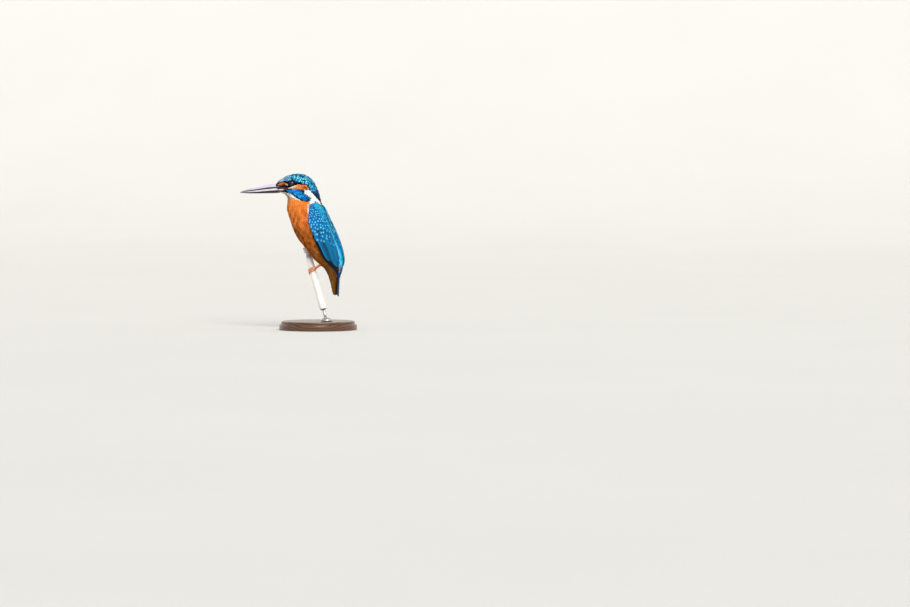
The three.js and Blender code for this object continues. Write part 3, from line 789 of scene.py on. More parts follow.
def skin_material():
    """The skin under the coat: the coat's own colours, darker, with the pits of the feathers."""

    def build(tree):
        place = object_place(tree)
        pits = value(tree, "ShaderNodeTexVoronoi", {"Vector": place, "Scale": 900.0}, "Distance")
        patch = ranged(noise(place, 240.0), 0.3, 0.7, 0.85, 1.1, smooth=False)
        return scaled(attribute(tree, "tint", "Color"), ranged(pits, 0.1, 0.6, 0.95, 0.75) * patch), pits

    return material("skin", build, Roughness=0.8, Specular_IOR_Level=0.07, bump=0.15)


# ---- Feathers ----


def leaf_section(v, arch, thickness, ridge=0.0):
    """A thin arched leaf in section: its top over v, from -1 to 1, then its under side back."""
    height = arch * (1 - v**2)
    top = np.stack([v, height + ridge * (np.abs(v) < 0.05)], -1)
    under = np.stack([v, height - thickness], -1)
    return np.vstack([top, under[-2:0:-1]])


def vane_shape(tip_start, columns, rings=6):
    """A feather's vane: a thin, slightly arched leaf from y = 0 to 1, with x from -1 to 1."""
    t = 1 - (1 - np.linspace(0.0, 0.985, rings)) ** 1.25
    half = np.minimum(1.0, 0.45 + 1.1 * t)
    half = half * np.sqrt(1 - np.clip((t - tip_start) / (1.02 - tip_start), 0, 1) ** 2)
    x, z = leaf_section(np.linspace(-1, 1, 2 * columns + 1), 0.17, 0.08).T
    x, y, z = np.broadcast_arrays(x * half[:, None], t[:, None], z * (0.4 + 0.6 * half[:, None]))
    points, faces = loft(np.stack([x, y, z], -1))
    return points, faces, points[:, 1], np.clip(points[:, 0], -1, 1)


def barb_shape(line, half):
    """A thin closed blade along a line of points, ridged on top, that ends in a point."""
    body = line[:-1, None] + np.array([(-1, 0, 0), (0, 0, 0.7), (1, 0, 0)]) * half[:, None, None]
    tip = 3 * len(body)
    faces = [[0, 1, 2]]
    for start in range(0, tip, 3):
        for a, b in ((0, 1), (1, 2), (2, 0)):
            a, b = start + a, start + b
            faces.append([a, tip, b] if start == tip - 3 else [a, a + 3, b + 3, b])
    return facing_out(np.vstack([body.reshape(-1, 3), line[-1:]]), faces)


def tuft_shape(draw, blades, base=0.35, half=0.19, steps=(0.0, 0.4, 0.75, 1.0)):
    """A loose-barbed feather: narrow blades that fan out from one root."""
    parts, across = [], []
    for lean in np.linspace(-1, 1, blades):
        lean = 0.85 * (lean + draw.uniform(-0.15, 0.15))
        t = np.array(steps) * (1 - 0.22 * lean**2 + draw.uniform(-0.14, 0.04))
        line = np.stack([lean * (base + (1 - base) * t**1.3), t, draw.uniform(-0.15, 0.15) * t + 0.1], -1)
        parts.append(barb_shape(line, half * np.array([0.8, 1.05, 0.8])[: len(steps) - 1]))
        across.append(np.full(len(parts[-1][0]), lean))
    points, faces = joined(parts)
    return points, faces, points[:, 1], np.clip(np.concatenate(across), -1, 1)


def feather_patterns(kind):
    """A collection of a few feathers of one kind, for the coat's tree to pick from."""
    draw = np.random.default_rng(11)
    shapes = {
        "vane": lambda i: vane_shape(0.6 + 0.07 * i, columns=1),
        "covert": lambda i: vane_shape(0.66 + 0.06 * i, columns=2, rings=8),
        "tuft": lambda i: tuft_shape(draw, 6),
        "comb": lambda i: tuft_shape(draw, 7, base=0.75, half=0.17),
        "down": lambda i: tuft_shape(draw, 4, half=0.26, steps=(0.0, 0.5, 1.0)),
    }
    collection = bpy.data.collections.new(kind)
    for i in range(3):
        points, faces, along, across = shapes[kind](i)
        mesh = make_mesh(f"{kind}_{i}", points / MM, faces, {"along": along, "across": across})
        mark_sharp(mesh)
        collection.objects.link(bpy.data.objects.new(f"{kind}_{i}", mesh))
    return collection


def mark_sharp(mesh, degrees=50):
    """Keeps the shading crisp over a mesh's sharp edges."""
    mesh.set_sharp_from_angle(angle=math.radians(degrees))


def coat_tree():
    """Sets a feather on each point, bends it to the body and gives it its OFBake patch."""
    name = "feather coat"
    if name in bpy.data.node_groups:
        return bpy.data.node_groups[name]
    tree = bpy.data.node_groups.new(name, "GeometryNodeTree")
    sockets = {
        "Geometry": "Geometry", "Feathers": "Collection", "Material": "Material",
        "Patch": "Float", "Variation": "Float", "Seed": "Int",
    }
    for label, kind in sockets.items():
        tree.interface.new_socket(label, in_out="INPUT", socket_type=f"NodeSocket{kind}")
    tree.interface.new_socket("Geometry", in_out="OUTPUT", socket_type="NodeSocketGeometry")
    inputs = node(tree, "NodeGroupInput").outputs
    given = {label: Value(inputs[label]) for label in sockets}

    def stored(key, kind="FLOAT"):
        return value(tree, "GeometryNodeInputNamedAttribute", {"Name": key}, data_type=kind)

    def step(kind, geometry, **inputs):
        """The next change of the geometry; an input's name has _ for its spaces."""
        inputs = {key.replace("_", " "): wanted for key, wanted in inputs.items()}
        return value(tree, f"GeometryNode{kind}", {0: geometry, **inputs})

    outward, size = stored("outward", "FLOAT_VECTOR"), stored("size", "FLOAT_VECTOR")
    along = stored("along")
    options = {"Separate Children": True, "Reset Children": True}
    feathers = step("CollectionInfo", given["Feathers"], **options)
    axes = {"Primary Axis": outward, "Secondary Axis": stored("lie", "FLOAT_VECTOR")}
    turn = value(tree, "FunctionNodeAxesToRotation", axes, primary_axis="Z", secondary_axis="Y")
    bounds = {"Min": given["Variation"] * -1.0 + 1.0, "Max": given["Variation"] + 1.0, "Seed": given["Seed"]}
    random = node(tree, "FunctionNodeRandomValue", bounds, data_type="FLOAT")
    vary = Value(next(s for s in random.outputs if s.enabled))
    longer = value(tree, "ShaderNodeCombineXYZ", {"X": 1.0, "Y": vary, "Z": 1.0})
    shape = step(
        "InstanceOnPoints", given["Geometry"], Instance=feathers, Pick_Instance=True, Rotation=turn,
        Instance_Index=stored("pick", "INT"), Scale=vectors("MULTIPLY", size, longer),
    )
    shape = step("RealizeInstances", shape)
    reach = along * value(tree, "ShaderNodeSeparateXYZ", {0: size}, "Y")
    drop = reach * reach * stored("bend") * -0.5
    shape = step("SetPosition", shape, Offset=scaled(outward, drop))
    local = value(tree, "ShaderNodeCombineXYZ", {"X": stored("across") * 0.5, "Y": along - 0.5})
    spot = vectors("ADD", stored("root_map", "FLOAT_VECTOR"), scaled(local, given["Patch"]))
    mapped = node(
        tree, "GeometryNodeStoreNamedAttribute", {"Geometry": shape, "Name": "OFBake"},
        data_type="FLOAT2", domain="CORNER",
    )
    tree.links.new(spot.socket, mapped.inputs["Value"])
    painted = step("SetMaterial", Value(mapped.outputs[0]), Material=given["Material"])
    node(tree, "NodeGroupOutput", {"Geometry": painted})
    return tree


def grow(name, kind, roots, look, replaces=()):
    """A coat piece of feathers of one kind on roots, a dictionary of their places and measures."""
    coat = bpy.context.scene.kingfisher_coat
    values = roots | {"size": roots["size"] * MM, "bend": roots["bend"] / MM}
    values |= {key: opaque(roots[key]) for key in ("tint", "spark")}
    place = values.pop("place")
    mesh = make_mesh(name, place, [], values)
    store(mesh, "pick", "INT", np.arange(len(place)) * 7 % 3)
    piece = link(name, mesh)
    patterns = feather_patterns(kind)
    growth = piece.modifiers.new("growth", "NODES")
    growth.node_group = coat_tree()
    given = {
        "Feathers": patterns, "Material": look, "Patch": coat.patch, "Variation": 0.1, "Seed": coat.seed,
    }
    for socket in growth.node_group.interface.items_tree:
        if socket.in_out == "INPUT" and socket.name in given:
            growth[socket.identifier] = given[socket.name]
    applied(piece)
    for pattern in list(patterns.objects):
        bpy.data.meshes.remove(pattern.data)
    bpy.data.collections.remove(patterns)
    for spare in ("outward", "lie", "size", "bend", "root_map", "pick"):
        piece.data.attributes.remove(piece.data.attributes[spare])
    finish_piece(piece, look, replaces)


def tree_of(points):
    """A tree that finds the nearest of the points."""
    tree = kdtree.KDTree(len(points))
    for i, p in enumerate(points):
        tree.insert(p, i)
    tree.balance()
    return tree


def spread(points, spacing):
    """Which points to keep so that no two kept ones are nearer than their spacing."""
    tree = tree_of(points)
    free = np.ones(len(points), bool)
    for i in range(len(points)):
        if free[i]:
            for _, j, _ in tree.find_range(points[i], spacing[i]):
                free[j] &= j <= i
    return free


def feather_roots(frames, ahead, depth, tip_lift, sizes, draw, sway=7.0):
    """Places and ways of feathers. frames is their roots' (place, lie, outward) on the coat's shape,
    and ahead the shape's points where their tips come."""
    place, lie, outward = frames
    length, half = sizes
    across = np.cross(lie, outward)
    yaw = np.radians(draw.normal(0, sway, len(place)))[:, None]
    lie = unit(lie * np.cos(yaw) + across * np.sin(yaw))
    roll = np.radians(draw.normal(0, 4, len(place)))[:, None]
    away = ahead - place
    reach = norm(away)
    bend = np.clip(-2 * np.sum(away * outward, -1) / reach**2, -0.12, 0.16)
    rise = np.arcsin(np.clip((depth + tip_lift) / length, -0.3, 0.6))[:, None]
    up = unit(outward * np.cos(rise) - lie * np.sin(rise))
    lie = unit(lie * np.cos(rise) + outward * np.sin(rise))
    up = unit(up * np.cos(roll) + np.cross(lie, up) * np.sin(roll))
    return {
        "place": place - outward * depth[:, None],
        "lie": lie,
        "outward": up,
        "bend": bend,
        "size": np.stack([half, length, half], -1),
    }


# Spacing, length and half-width of the feathers, and how strongly they carry their bright mark.
FEATHERS = {
    "crown": (1.85, 4.8, 1.25, 1.3),
    "nape": (1.75, 5.0, 1.2, 0.7),
    "mask": (0.75, 1.9, 0.42, 0.0),
    "malar": (1.0, 3.2, 0.75, 1.0),
    "ear": (0.72, 3.0, 0.46, 0.8),
    "loral": (0.7, 1.7, 0.4, 0.0),
    "pale": (0.65, 1.6, 0.35, 0.0),
    "neck_patch": (0.8, 3.6, 0.6, 0.0),
    "throat": (0.75, 2.6, 0.5, 0.0),
    "breast": (0.84, 4.8, 0.64, 0.5),
    "belly": (0.98, 6.0, 0.76, 0.5),
    "mantle": (1.4, 5.2, 1.25, 0.35),
    "back": (1.15, 5.4, 0.85, 0.9),
    "rump": (1.2, 5.6, 0.85, 0.8),
    "undertail": (1.1, 7.0, 0.85, 0.4),
    "bare": (9.0, 1.0, 0.5, 0.0),
}


def blotches(p, scale):
    """Soft blotches, 0 to 1, over places p; scale is about a third of their size in millimetres."""
    ways = np.array([(1.0, 0.7, 0.3), (-0.5, 1.1, 0.9), (0.4, -0.8, 1.3), (1.3, 0.2, -0.9)]).T
    return np.clip(0.5 + np.sin(p / scale @ ways + (0, 1.3, 4.1, 2.2)).sum(-1) / 4.5, 0, 1)


def region_colours(region, s, angle):
    """Ground and bright colours of each place on the body, by its region."""
    c = palette()
    ground = vars(c) | {
        "nape": c.crown, "loral": c.ear * (0.8, 0.68, 0.6), "pale": c.white * (1.0, 0.9, 0.84),
        "neck_patch": c.white, "throat": c.white * (1.0, 0.97, 0.92), "back": c.azure,
        "rump": c.azure * 0.95, "bare": c.bill,
    }
    bright = ground | {
        "crown": c.crown_spot, "nape": c.wing_spot * 0.4, "malar": c.malar_spot, "undertail": c.belly,
        "ear": c.ear * (0.28, 0.2, 0.2), "breast": c.breast * 1.2, "belly": c.breast,
        "mantle": c.mantle * 1.8, "back": c.azure_spot, "rump": c.azure_spot,
    }
    tint, spark = (np.array([table[name] for name in REGIONS])[region] for table in (ground, bright))
    p = body_point(s, angle, turn=False)
    x, _, z = p.T
    degrees = np.degrees(np.abs(np.arctan2(np.sin(angle), np.cos(angle))))
    off_stripe = np.degrees(np.abs(angle - stripe_angle(s)))

    def blend(name, towards, share, paint=tint):
        """Takes one region of the paint towards a colour, in place."""
        paint += (towards - paint) * ((region == REGION[name]) * share)[:, None]

    patchy = smoothstep(0.3, 0.75, 0.55 * blotches(p, 2.4) + 0.45 * blotches(p, 0.9))
    streaks = smoothstep(0.35, 0.7, blotches(p * (1, 1, 0.5), 1.1))
    forehead_highlight, low_nape = smoothstep(-27, -37, x), smoothstep(147, 138, z)
    blend("crown", c.mantle * 0.8, 0.6 * patchy)
    # painted highlight: the forehead paler in its ground and in its bars
    blend("crown", c.forehead_highlight * (0.75, 0.88, 0.94), forehead_highlight)
    blend("crown", c.forehead_highlight * 1.2, forehead_highlight, spark)
    blend("crown", c.mantle, 0.55 * smoothstep(-16, -7, x), spark)
    blend("nape", c.malar * 0.7, 0.75 * patchy)
    blend("nape", c.mask, 0.75 * low_nape)
    blend("nape", c.crown, 0.85 * low_nape, spark)
    bands = blotches(p * (0.35, 1, 1.1), 0.75)
    blend("malar", c.azure * 0.8, 0.7 * smoothstep(-22, -30, x))
    blend("malar", c.malar_spot * (0.5, 0.8, 0.95), 0.8 * smoothstep(0.52, 0.75, bands))
    blend("malar", c.crown * 0.6, 0.7 * smoothstep(0.4, 0.25, bands))
    blend("malar", c.malar * (1, 0.4, 0.35), 0.75 * np.maximum(patchy * 0.7, smoothstep(-15, -8, x)))
    blend("malar", c.mask, 0.8 * smoothstep(-12, -7, x) * smoothstep(136, 133.5, z))
    blend("loral", c.ear * (0.12, 0.05, 0.03), smoothstep(-38.5, -35, x) * smoothstep(151.8, 149.2, z))
    blend("pale", c.white * (0.62, 0.5, 0.5), smoothstep(148.6, 149, z) * smoothstep(-29, -30, x))
    bars = smoothstep(0.52, 0.72, blotches(p * (0.4, 1, 1.5) + 2.0, 0.8))
    blend("ear", c.ear * (0.3, 0.2, 0.2), 0.9 * patchy * smoothstep(-20, -11, x))
    blend("ear", c.ear * (0.16, 0.08, 0.12), 0.85 * bars * smoothstep(-19, -13, x))
    brown = c.belly * (0.62, 0.5, 0.4)
    front = smoothstep(105, 150, degrees)
    # painted light and shade: the breast paler at its top and taking the belly's darker colour lower down
    blend("breast", np.minimum(c.breast * (1.1, 1.2, 1.4), 1), 0.7 * smoothstep(122, 130, z))
    blend("breast", c.breast * (0.75, 0.95, 1.6), 0.55 * smoothstep(128, 158, degrees))
    blend("breast", c.white * (0.66, 0.44, 0.27), smoothstep(-24, -28, x) * smoothstep(131, 135, z))
    blend("breast", brown, streaks * smoothstep(132, 116, z) * (0.45 + 0.45 * front))
    blend("breast", c.belly, smoothstep(7.4, 9.2, s) * 0.8)
    ochre = smoothstep(1.15, 0.5, np.hypot((x + 1) / 5.5, (z - 80) / 7)) * (angle > 0)
    blend("belly", c.breast * 0.9, 0.5 * (1 - streaks) * smoothstep(10.8, 9.6, s))
    blend("belly", brown * 0.7, patchy * streaks)
    blend("belly", c.breast * (0.66, 0.78, 1.2), 0.7 * ochre * (1 - 0.6 * streaks))
    blend("belly", c.undertail, smoothstep(9.6, 11.6, s) * 0.6)
    blend("undertail", c.belly * (0.5, 0.55, 0.6), 0.8 * patchy)
    blend("bare", c.undertail * 0.5, smoothstep(10, 11, s))
    upper_back, rump_shade = smoothstep(97, 107, z), smoothstep(69, 64, z)
    blend("mantle", c.crown, smoothstep(7.0, 6.2, s) * 0.3)
    blend("back", c.mantle * 0.85, 0.7 * upper_back)
    blend("back", c.mantle, 0.6 * upper_back, spark)
    blend("back", c.wing, smoothstep(6, 13, off_stripe))
    blend("rump", c.wing, smoothstep(8, 16, off_stripe))
    # painted shade: the low rump and upper tail coverts darkened to deep blue, ground and tips alike
    for paint in (tint, spark):
        blend("rump", c.malar * (0.6, 0.4, 0.34), rump_shade, paint)
    flank = np.hypot((np.degrees(angle) - 38) / 14, (z - 63.3) / 3.4)
    blend("rump", c.ear * (0.9, 1.1, 1.4), smoothstep(1.1, 0.8, flank))
    return tint, spark


def body_candidates(draw, count=230000):
    """Random places on the body, evenly thick on its surface, in random order."""
    s, angle = draw.uniform(0.35, LAST_RIB - 0.35, count), draw.uniform(-np.pi, np.pi, count)
    step = body_point(s + 0.02, angle) - body_point(s - 0.02, angle)
    side = body_point(s, angle + 0.02) - body_point(s, angle - 0.02)
    area = norm(np.cross(step, side))
    return picked(draw.uniform(0, np.percentile(area, 99), count) < area, s, angle)


def picked(kept, *arrays):
    return [array[kept] for array in arrays]


def rib_pace(s, angle):
    """Millimetres along the body for each rib."""
    pace = norm(body_point(s + 0.05, angle) - body_point(s - 0.05, angle)) * 10
    return np.maximum(pace, 1.0)


def under_wing(s, angle):
    """Whether a wing covers a place on the body, away from the wing's own edges."""
    along = wing_share(s)
    margin = 3.2 / np.maximum(through(RIB_LINES[:, 4:5], s)[..., 0], 5)
    covered = False
    for side in SIDES.values():
        near, far = wing_angles(along, side)
        covered |= (side * angle > near + margin) & (side * angle < far - margin)
    return covered & (along > 0.05) & (along < 0.97)


@functools.cache
def eye_places():
    """Each eye's centre and the way it looks."""
    found = {}
    for name, side in SIDES.items():
        centre = np.mean([tuple(corner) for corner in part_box(f"eye_{name}")], 0) / MM
        s, angle = np.meshgrid(np.linspace(1.5, 3.5, 81), side * np.linspace(0.5, 2.0, 81))
        p, _, outward = body_frame(s.ravel(), angle.ravel())
        found[name] = (centre, outward[np.argmin(norm(p - centre))])
    return found


def clear_places(p):
    """Whether feathers may grow at p: off the eyes, the reed and the feet."""
    off_eye, off_stem, off_toes, half_grip = 3.3, 1.1, 2.8, 4.2
    free = np.ones(len(p), bool)
    for centre, look in eye_places().values():
        free &= (norm(square_to(p - centre, look)) > off_eye) | ((p - centre) @ look < 0)
    _, distance = off_reed(p)
    free &= distance > REED.radius + off_stem
    for foot in FEET.values():
        rise = (p - reed_point(foot["height"])) @ REED_UP
        free &= (distance > foot["core"] + off_toes) | (np.abs(rise) > half_grip)
    return free


def unwrap(s, angle, low, high):
    """A place on the unwrap of the body's shape: round in u, and down in v."""
    u = 0.5 + 0.48 * np.arctan2(np.sin(angle), np.cos(angle)) / np.pi
    v = 0.98 - 0.96 * np.clip((s - low) / (high - low), 0, 1)
    return np.stack([u, v, np.zeros_like(u)], -1)


def body_roots(names, coat):
    """Roots of the feathers of the named regions, all over the body."""
    draw = np.random.default_rng(coat.seed)
    s, angle = body_candidates(draw)
    spacing, length, half, mark = np.array([FEATHERS[name] for name in REGIONS]).T
    ahead_s = s + 0.6 * length[region_at(s, angle)] * coat.length / rib_pace(s, angle)
    ahead_s = np.minimum(ahead_s, LAST_RIB)
    region = region_at(ahead_s, angle)
    frames, depth = body_frame(s, angle), coat_depth(s, angle)
    place, _, outward = frames
    kept = np.isin(region, [REGION[name] for name in names]) & ~under_wing(s, angle)
    kept = np.flatnonzero(kept & clear_places(place - outward * depth[:, None] * 0.5))
    kept = kept[spread(place[kept], spacing[region[kept]] * coat.spacing)]
    s, angle, region, ahead_s, depth = picked(kept, s, angle, region, ahead_s, depth)
    count = len(s)
    length = length[region] * coat.length * draw.uniform(0.85, 1.12, count)
    room = (LAST_RIB - 0.4 - s) * rib_pace(s, angle)
    length = np.where(s > 11, np.minimum(length, np.maximum(room, 2.0)), length)
    half = half[region] * draw.uniform(0.9, 1.12, count)
    ahead = body_point(np.minimum(s + length / rib_pace(s, angle), LAST_RIB), angle)
    tip_lift = draw.uniform(-0.25, 0.12, count)
    roots = feather_roots(picked(kept, *frames), ahead, depth, tip_lift, (length, half), draw)
    tint, spark = region_colours(region, ahead_s, angle)
    roots["tint"] = tint * draw.normal(1, 0.1, (count, 1)) * (1 + draw.normal(0, 0.03, (count, 3)))
    roots["spark"] = spark * draw.uniform(0.75, 1.1, (count, 1))
    plain = np.isin(region, (REGION["crown"], REGION["nape"]))
    mark = mark[region] * draw.uniform(0.35, 1.1, count)
    roots["mark"] = mark * ~(plain & (draw.uniform(0, 1, count) < 0.12))
    roots["root_map"] = unwrap(s, angle, s.min(), s.max())
    return roots, angle


# ---- The skin and the body's coat ----


def thigh_places(name):
    """A thigh's middle, the axes across and along it, and its half-length and radius."""
    hip, ankle, radius = THIGHS[name]
    hip, ankle = np.array(hip, float), np.array(ankle, float)
    down = unit(ankle - hip)
    side = unit(np.cross(down, (1.0, 0, 0)))
    return (hip + ankle) / 2, (side, np.cross(down, side), down), norm(hip - ankle) / 2 + 2.2, radius


def thigh_point(name, t, angle, lift=0.0):
    """A point of a thigh's egg: t from 0 at the hip to 1 at the ankle."""
    middle, axes, half_length, radius = thigh_places(name)
    polar = np.pi * np.asarray(t, float)
    rise, distance = -np.cos(polar) * (half_length + lift), np.sin(polar) * (radius + lift)
    return about(axes, middle, angle, rise, distance)


def skin_shape():
    s, angle = np.linspace(0, LAST_RIB, 150)[:, None], circle(96)
    return loft(body_point(s, angle, -coat_depth(s, angle)))


def thigh_shape(name):
    return loft(thigh_point(name, np.linspace(0.02, 0.98, 24)[:, None], circle(32), -0.9))


def nearest_on_body(points):
    """For each point the nearest place (s, angle) on the body."""
    s, angle = np.meshgrid(np.linspace(0, LAST_RIB, 260), np.linspace(-np.pi, np.pi, 160), indexing="ij")
    s, angle = s.ravel(), angle.ravel()
    tree = tree_of(body_point(s, angle, -coat_depth(s, angle)))
    return picked([tree.find(p)[1] for p in points], s, angle)


class KINGFISHER_OT_skin(bpy.types.Operator):
    """One skin for head, neck, trunk, rump and thighs, inside the coat by its depth"""

    bl_idname = "kingfisher.skin"
    bl_label = "Skin"

    def execute(self, context):
        shape = joined([skin_shape(), *(thigh_shape(name) for name in SIDES)])
        skin = remeshed("skin", shape, 0.55, smoothing=4)
        points = fetched(skin.data.vertices, "co", 3) / MM
        away, distance = off_reed(points)
        height = height_up_reed(points)
        keep_off = REED.radius + GAP + 0.15 + (height < 55) * 0.9
        points = points + away * (np.clip(keep_off - distance, 0, 2.5) * (height < 80))[:, None]
        for centre, look in eye_places().values():
            out = (points - centre) @ look
            radial = norm(square_to(points - centre, look))
            rise = 0.6 * hump((radial - 3.6) / 0.7) - 1.3 * smoothstep(3.0, 2.2, radial)
            points = points + look * (rise * (out > 0))[:, None]
        skin.data.vertices.foreach_set("co", np.ravel(points) * MM)
        skin.data.update()
        s, angle = nearest_on_body(points)
        tint, _ = region_colours(region_at(s, angle), s, angle)
        store(skin.data, "tint", "FLOAT_COLOR", opaque(tint))
        flesh = ("head", "neck", "trunk", "rump", "thigh_left", "thigh_right")
        finish_piece(skin, skin_material(), flesh)
        return {"FINISHED"}


# Each coat piece: the regions it grows on, the kind of feather, its spot, its slot, and whether each
# side of the bird is a piece of its own.
COATS = {
    "crown_coat": (("crown",), "covert", (0.82, 0.155, 0.7), "crown_blue", False),
    "nape_coat": (("nape",), "covert", (0.83, 0.1, 0.65), "crown_blue", False),
    "face_coat": (("mask", "loral", "pale"), "down", (0.9, 0.2, 1.0), "crown_blue", False),
    "ear_coat": (("ear",), "tuft", (0.95, 0.16, 1.2), "breast_orange", False),
    "cheek_coat": (("malar",), "comb", (0.82, 0.16, 0.9), "crown_blue", False),
    "white_coat": (("neck_patch", "throat"), "tuft", (0.9, 0.2, 1.0), "breast_orange", False),
    "breast_coat": (("breast",), "tuft", (0.95, 0.25, 1.2), "breast_orange", True),
    "belly_coat": (("belly",), "tuft", (0.95, 0.25, 1.2), "breast_orange", True),
    "back_coat": (("mantle", "back", "rump"), "vane", (0.85, 0.2, 0.9), "back_azure", False),
    "undertail_coat": (("undertail",), "tuft", (0.95, 0.2, 1.2), "breast_orange", False),
}


def thigh_roots(name, coat):
    """Roots of the feathers on a thigh's egg, where it stands out of the body."""
    draw = np.random.default_rng(coat.seed + 50)
    count = 6000
    t, angle = np.arccos(draw.uniform(-1, 1, count)) / np.pi, draw.uniform(-np.pi, np.pi, count)
    place = thigh_point(name, t, angle)
    lie = unit(thigh_point(name, t + 0.01, angle) - place)
    outward = unit(square_to(place - thigh_places(name)[0], lie))
    at, _, body_out = body_frame(*nearest_on_body(place))
    kept = (np.sum((place - at) * body_out, -1) > -0.4) & clear_places(place) & (t < 0.93)
    kept = np.flatnonzero(kept)
    kept = kept[spread(place[kept], np.full(len(kept), 1.25 * coat.spacing))]
    t, angle, *frames = picked(kept, t, angle, place, lie, outward)
    count = len(kept)
    length = draw.uniform(3.6, 4.6, count) * coat.length
    ahead = thigh_point(name, np.minimum(t + 0.22, 1), angle)
    depth, half = np.full(count, 0.9), np.full(count, 0.75)
    roots = feather_roots(frames, ahead, depth, draw.uniform(-0.3, 0.1, count), (length, half), draw)
    shade = draw.normal(1, 0.1, (count, 1))
    c = palette()
    roots["tint"] = lerp(c.belly, c.undertail, 0.5) * shade
    roots["spark"] = c.belly * 1.2 * shade
    roots["mark"] = draw.uniform(0, 0.5, count)
    roots["root_map"] = np.stack([0.02 + 0.1 * t, 0.08 + 0.04 * angle / np.pi, 0 * t], -1)
    return roots


class KINGFISHER_OT_body_coat(bpy.types.Operator):
    """The coat of small feathers over head, body and thighs, one piece for each kind of plumage"""

    bl_idname = "kingfisher.body_coat"
    bl_label = "Body coat"

    def execute(self, context):
        coat = context.scene.kingfisher_coat
        for name, (regions, kind, spot, slot, sided) in COATS.items():
            roots, angle = body_roots(regions, coat)
            # root sets the painted shade at the feathers' bases; the white patches get none
            look = plumage_material(name, spot, root=1.0 if name == "white_coat" else 0.7)
            for side, sign in SIDES.items() if sided else [("", 0)]:
                half = {key: values[angle * sign >= 0] for key, values in roots.items()}
                if name == "belly_coat":
                    thigh = thigh_roots(side, coat)
                    half = {key: np.concatenate([half[key], thigh[key]]) for key in half}
                grow(f"{name}_{side}" if sided else name, kind, half, look)
        return {"FINISHED"}


# ---- Wings and tail ----


def wing_cover(along, across, side, lift=0.0):
    """A wing's outer face, going down to the body at the shoulder."""
    low = -(wing_rise(along, across) + 0.5) * smoothstep(0.07, -0.05, along)
    return wing_point(along, across, side, low + lift)


def wing_frame(along, across, side):
    p = wing_cover(along, across, side)
    ahead = unit(wing_cover(along + 0.01, across, side) - wing_cover(along - 0.01, across, side))
    near, far = np.clip(across - 0.02, -0.1, 1), np.clip(across + 0.02, -0.1, 1)
    over = wing_cover(along, far, side) - wing_cover(along, near, side)
    return p, ahead, unit(side * np.cross(over, ahead))


def wing_length():
    steps = wing_point(np.linspace(0, 1, 60), 0.5, 1)
    return float(norm(np.diff(steps, axis=0)).sum())


# Rows of coverts: where the tips come, as a share of the coverts' length, then the feathers'
# length, distance apart, half-width and how strongly they carry their spot.
COVERT_ROWS = (
    (0.03, 3.6, 2.1, 1.25, 0.7), (0.09, 4.0, 2.2, 1.3, 1.0), (0.155, 4.2, 2.3, 1.35, 1.0),
    (0.22, 4.4, 2.4, 1.4, 1.0), (0.285, 4.6, 2.5, 1.45, 1.0), (0.35, 4.8, 2.6, 1.5, 1.0),
    (0.42, 5.2, 2.7, 1.55, 1.0), (0.495, 5.6, 2.8, 1.65, 1.0), (0.575, 6.2, 3.0, 1.75, 1.0),
    (0.665, 7.5, 3.2, 1.9, 0.9), (0.77, 8.8, 3.4, 2.05, 0.8), (0.88, 10.0, 3.6, 2.2, 0.7),
    (1.0, 11.0, 3.8, 2.35, 0.5),
)
SCAPULAR_ROWS = (
    (0.08, 5.0, 2.9, 1.8, 0.1), (0.18, 6.0, 2.9, 1.8, 0.15), (0.28, 6.5, 2.8, 1.7, 0.4),
    (0.38, 6.5, 2.7, 1.6, 0.8), (0.48, 6.5, 2.7, 1.6, 1.0), (0.58, 6.5, 2.7, 1.6, 1.0),
    (0.69, 7.0, 2.8, 1.7, 1.0), (0.84, 8.0, 3.0, 1.8, 0.8), (1.0, 9.5, 3.2, 2.0, 0.5),
)


def covert_roots(side, rows, shares, lift, draw):
    """Roots of rows of coverts between two shares of the wing's width."""
    along, across, measures = [], [], []
    for number, (tip, length, apart, half, mark) in enumerate(rows):
        span = float(wing_span(tip * np.mean(COVERTS_END), side))
        first = shares[0] - 0.07 * (rows is SCAPULAR_ROWS and side > 0) * smoothstep(7, 3, number)
        count = max(2, int(round(span * (shares[1] - first) / apart)))
        b = first + (shares[1] - first) * (np.arange(count) + 0.25 + 0.5 * (number % 2)) / count
        front = np.interp(number, (0, 1, 3, 5, 8, 12), (0.95, 0.92, 0.88, 0.92, 0.92, 0.83))
        b = np.clip(b + draw.normal(0, 0.12, count) / count, first, front)
        along.append(tip * lerp(*COVERTS_END, b) + draw.normal(0, 0.35, count) / wing_length())
        across.append(b)
        measures += [(length, half, mark)] * count
    along, across = np.concatenate(along), np.concatenate(across)
    length, half, mark = np.array(measures).T
    length = length * draw.uniform(0.94, 1.06, len(along))
    root = along - length / wing_length()
    tip_lift = draw.uniform(0.0, 0.25, len(along)) + lift * (1 if side > 0 else 0.4)
    roots = feather_roots(
        wing_frame(root, across, side), wing_cover(along, across, side),
        np.full(len(along), 0.75 - lift), tip_lift, (length, half), draw, sway=4.0,
    )
    roots["mark"] = mark * draw.uniform(0.55, 1.1, len(along))
    up_map = 0.97 - 0.94 * np.clip(root + 0.1, 0, 1)
    roots["root_map"] = np.stack([0.03 + 0.94 * across, up_map, 0 * root], -1)
    return roots, along, across


PAD_STEPS = 40
PAD_ACROSS = np.linspace(0.03, 0.97, 20)


def wing_pad(side):
    """The closed shell that the wing's feathers lie on."""
    a = np.linspace(0.0, 0.97, PAD_STEPS)[:, None]
    top = wing_cover(a, PAD_ACROSS[None], side, -0.85)
    angle = side * lerp(*wing_angles(a, side), PAD_ACROSS[None, ::-1])
    under = body_point(wing_rib(a), angle, -1.3)
    return loft(np.concatenate([top, under], 1))


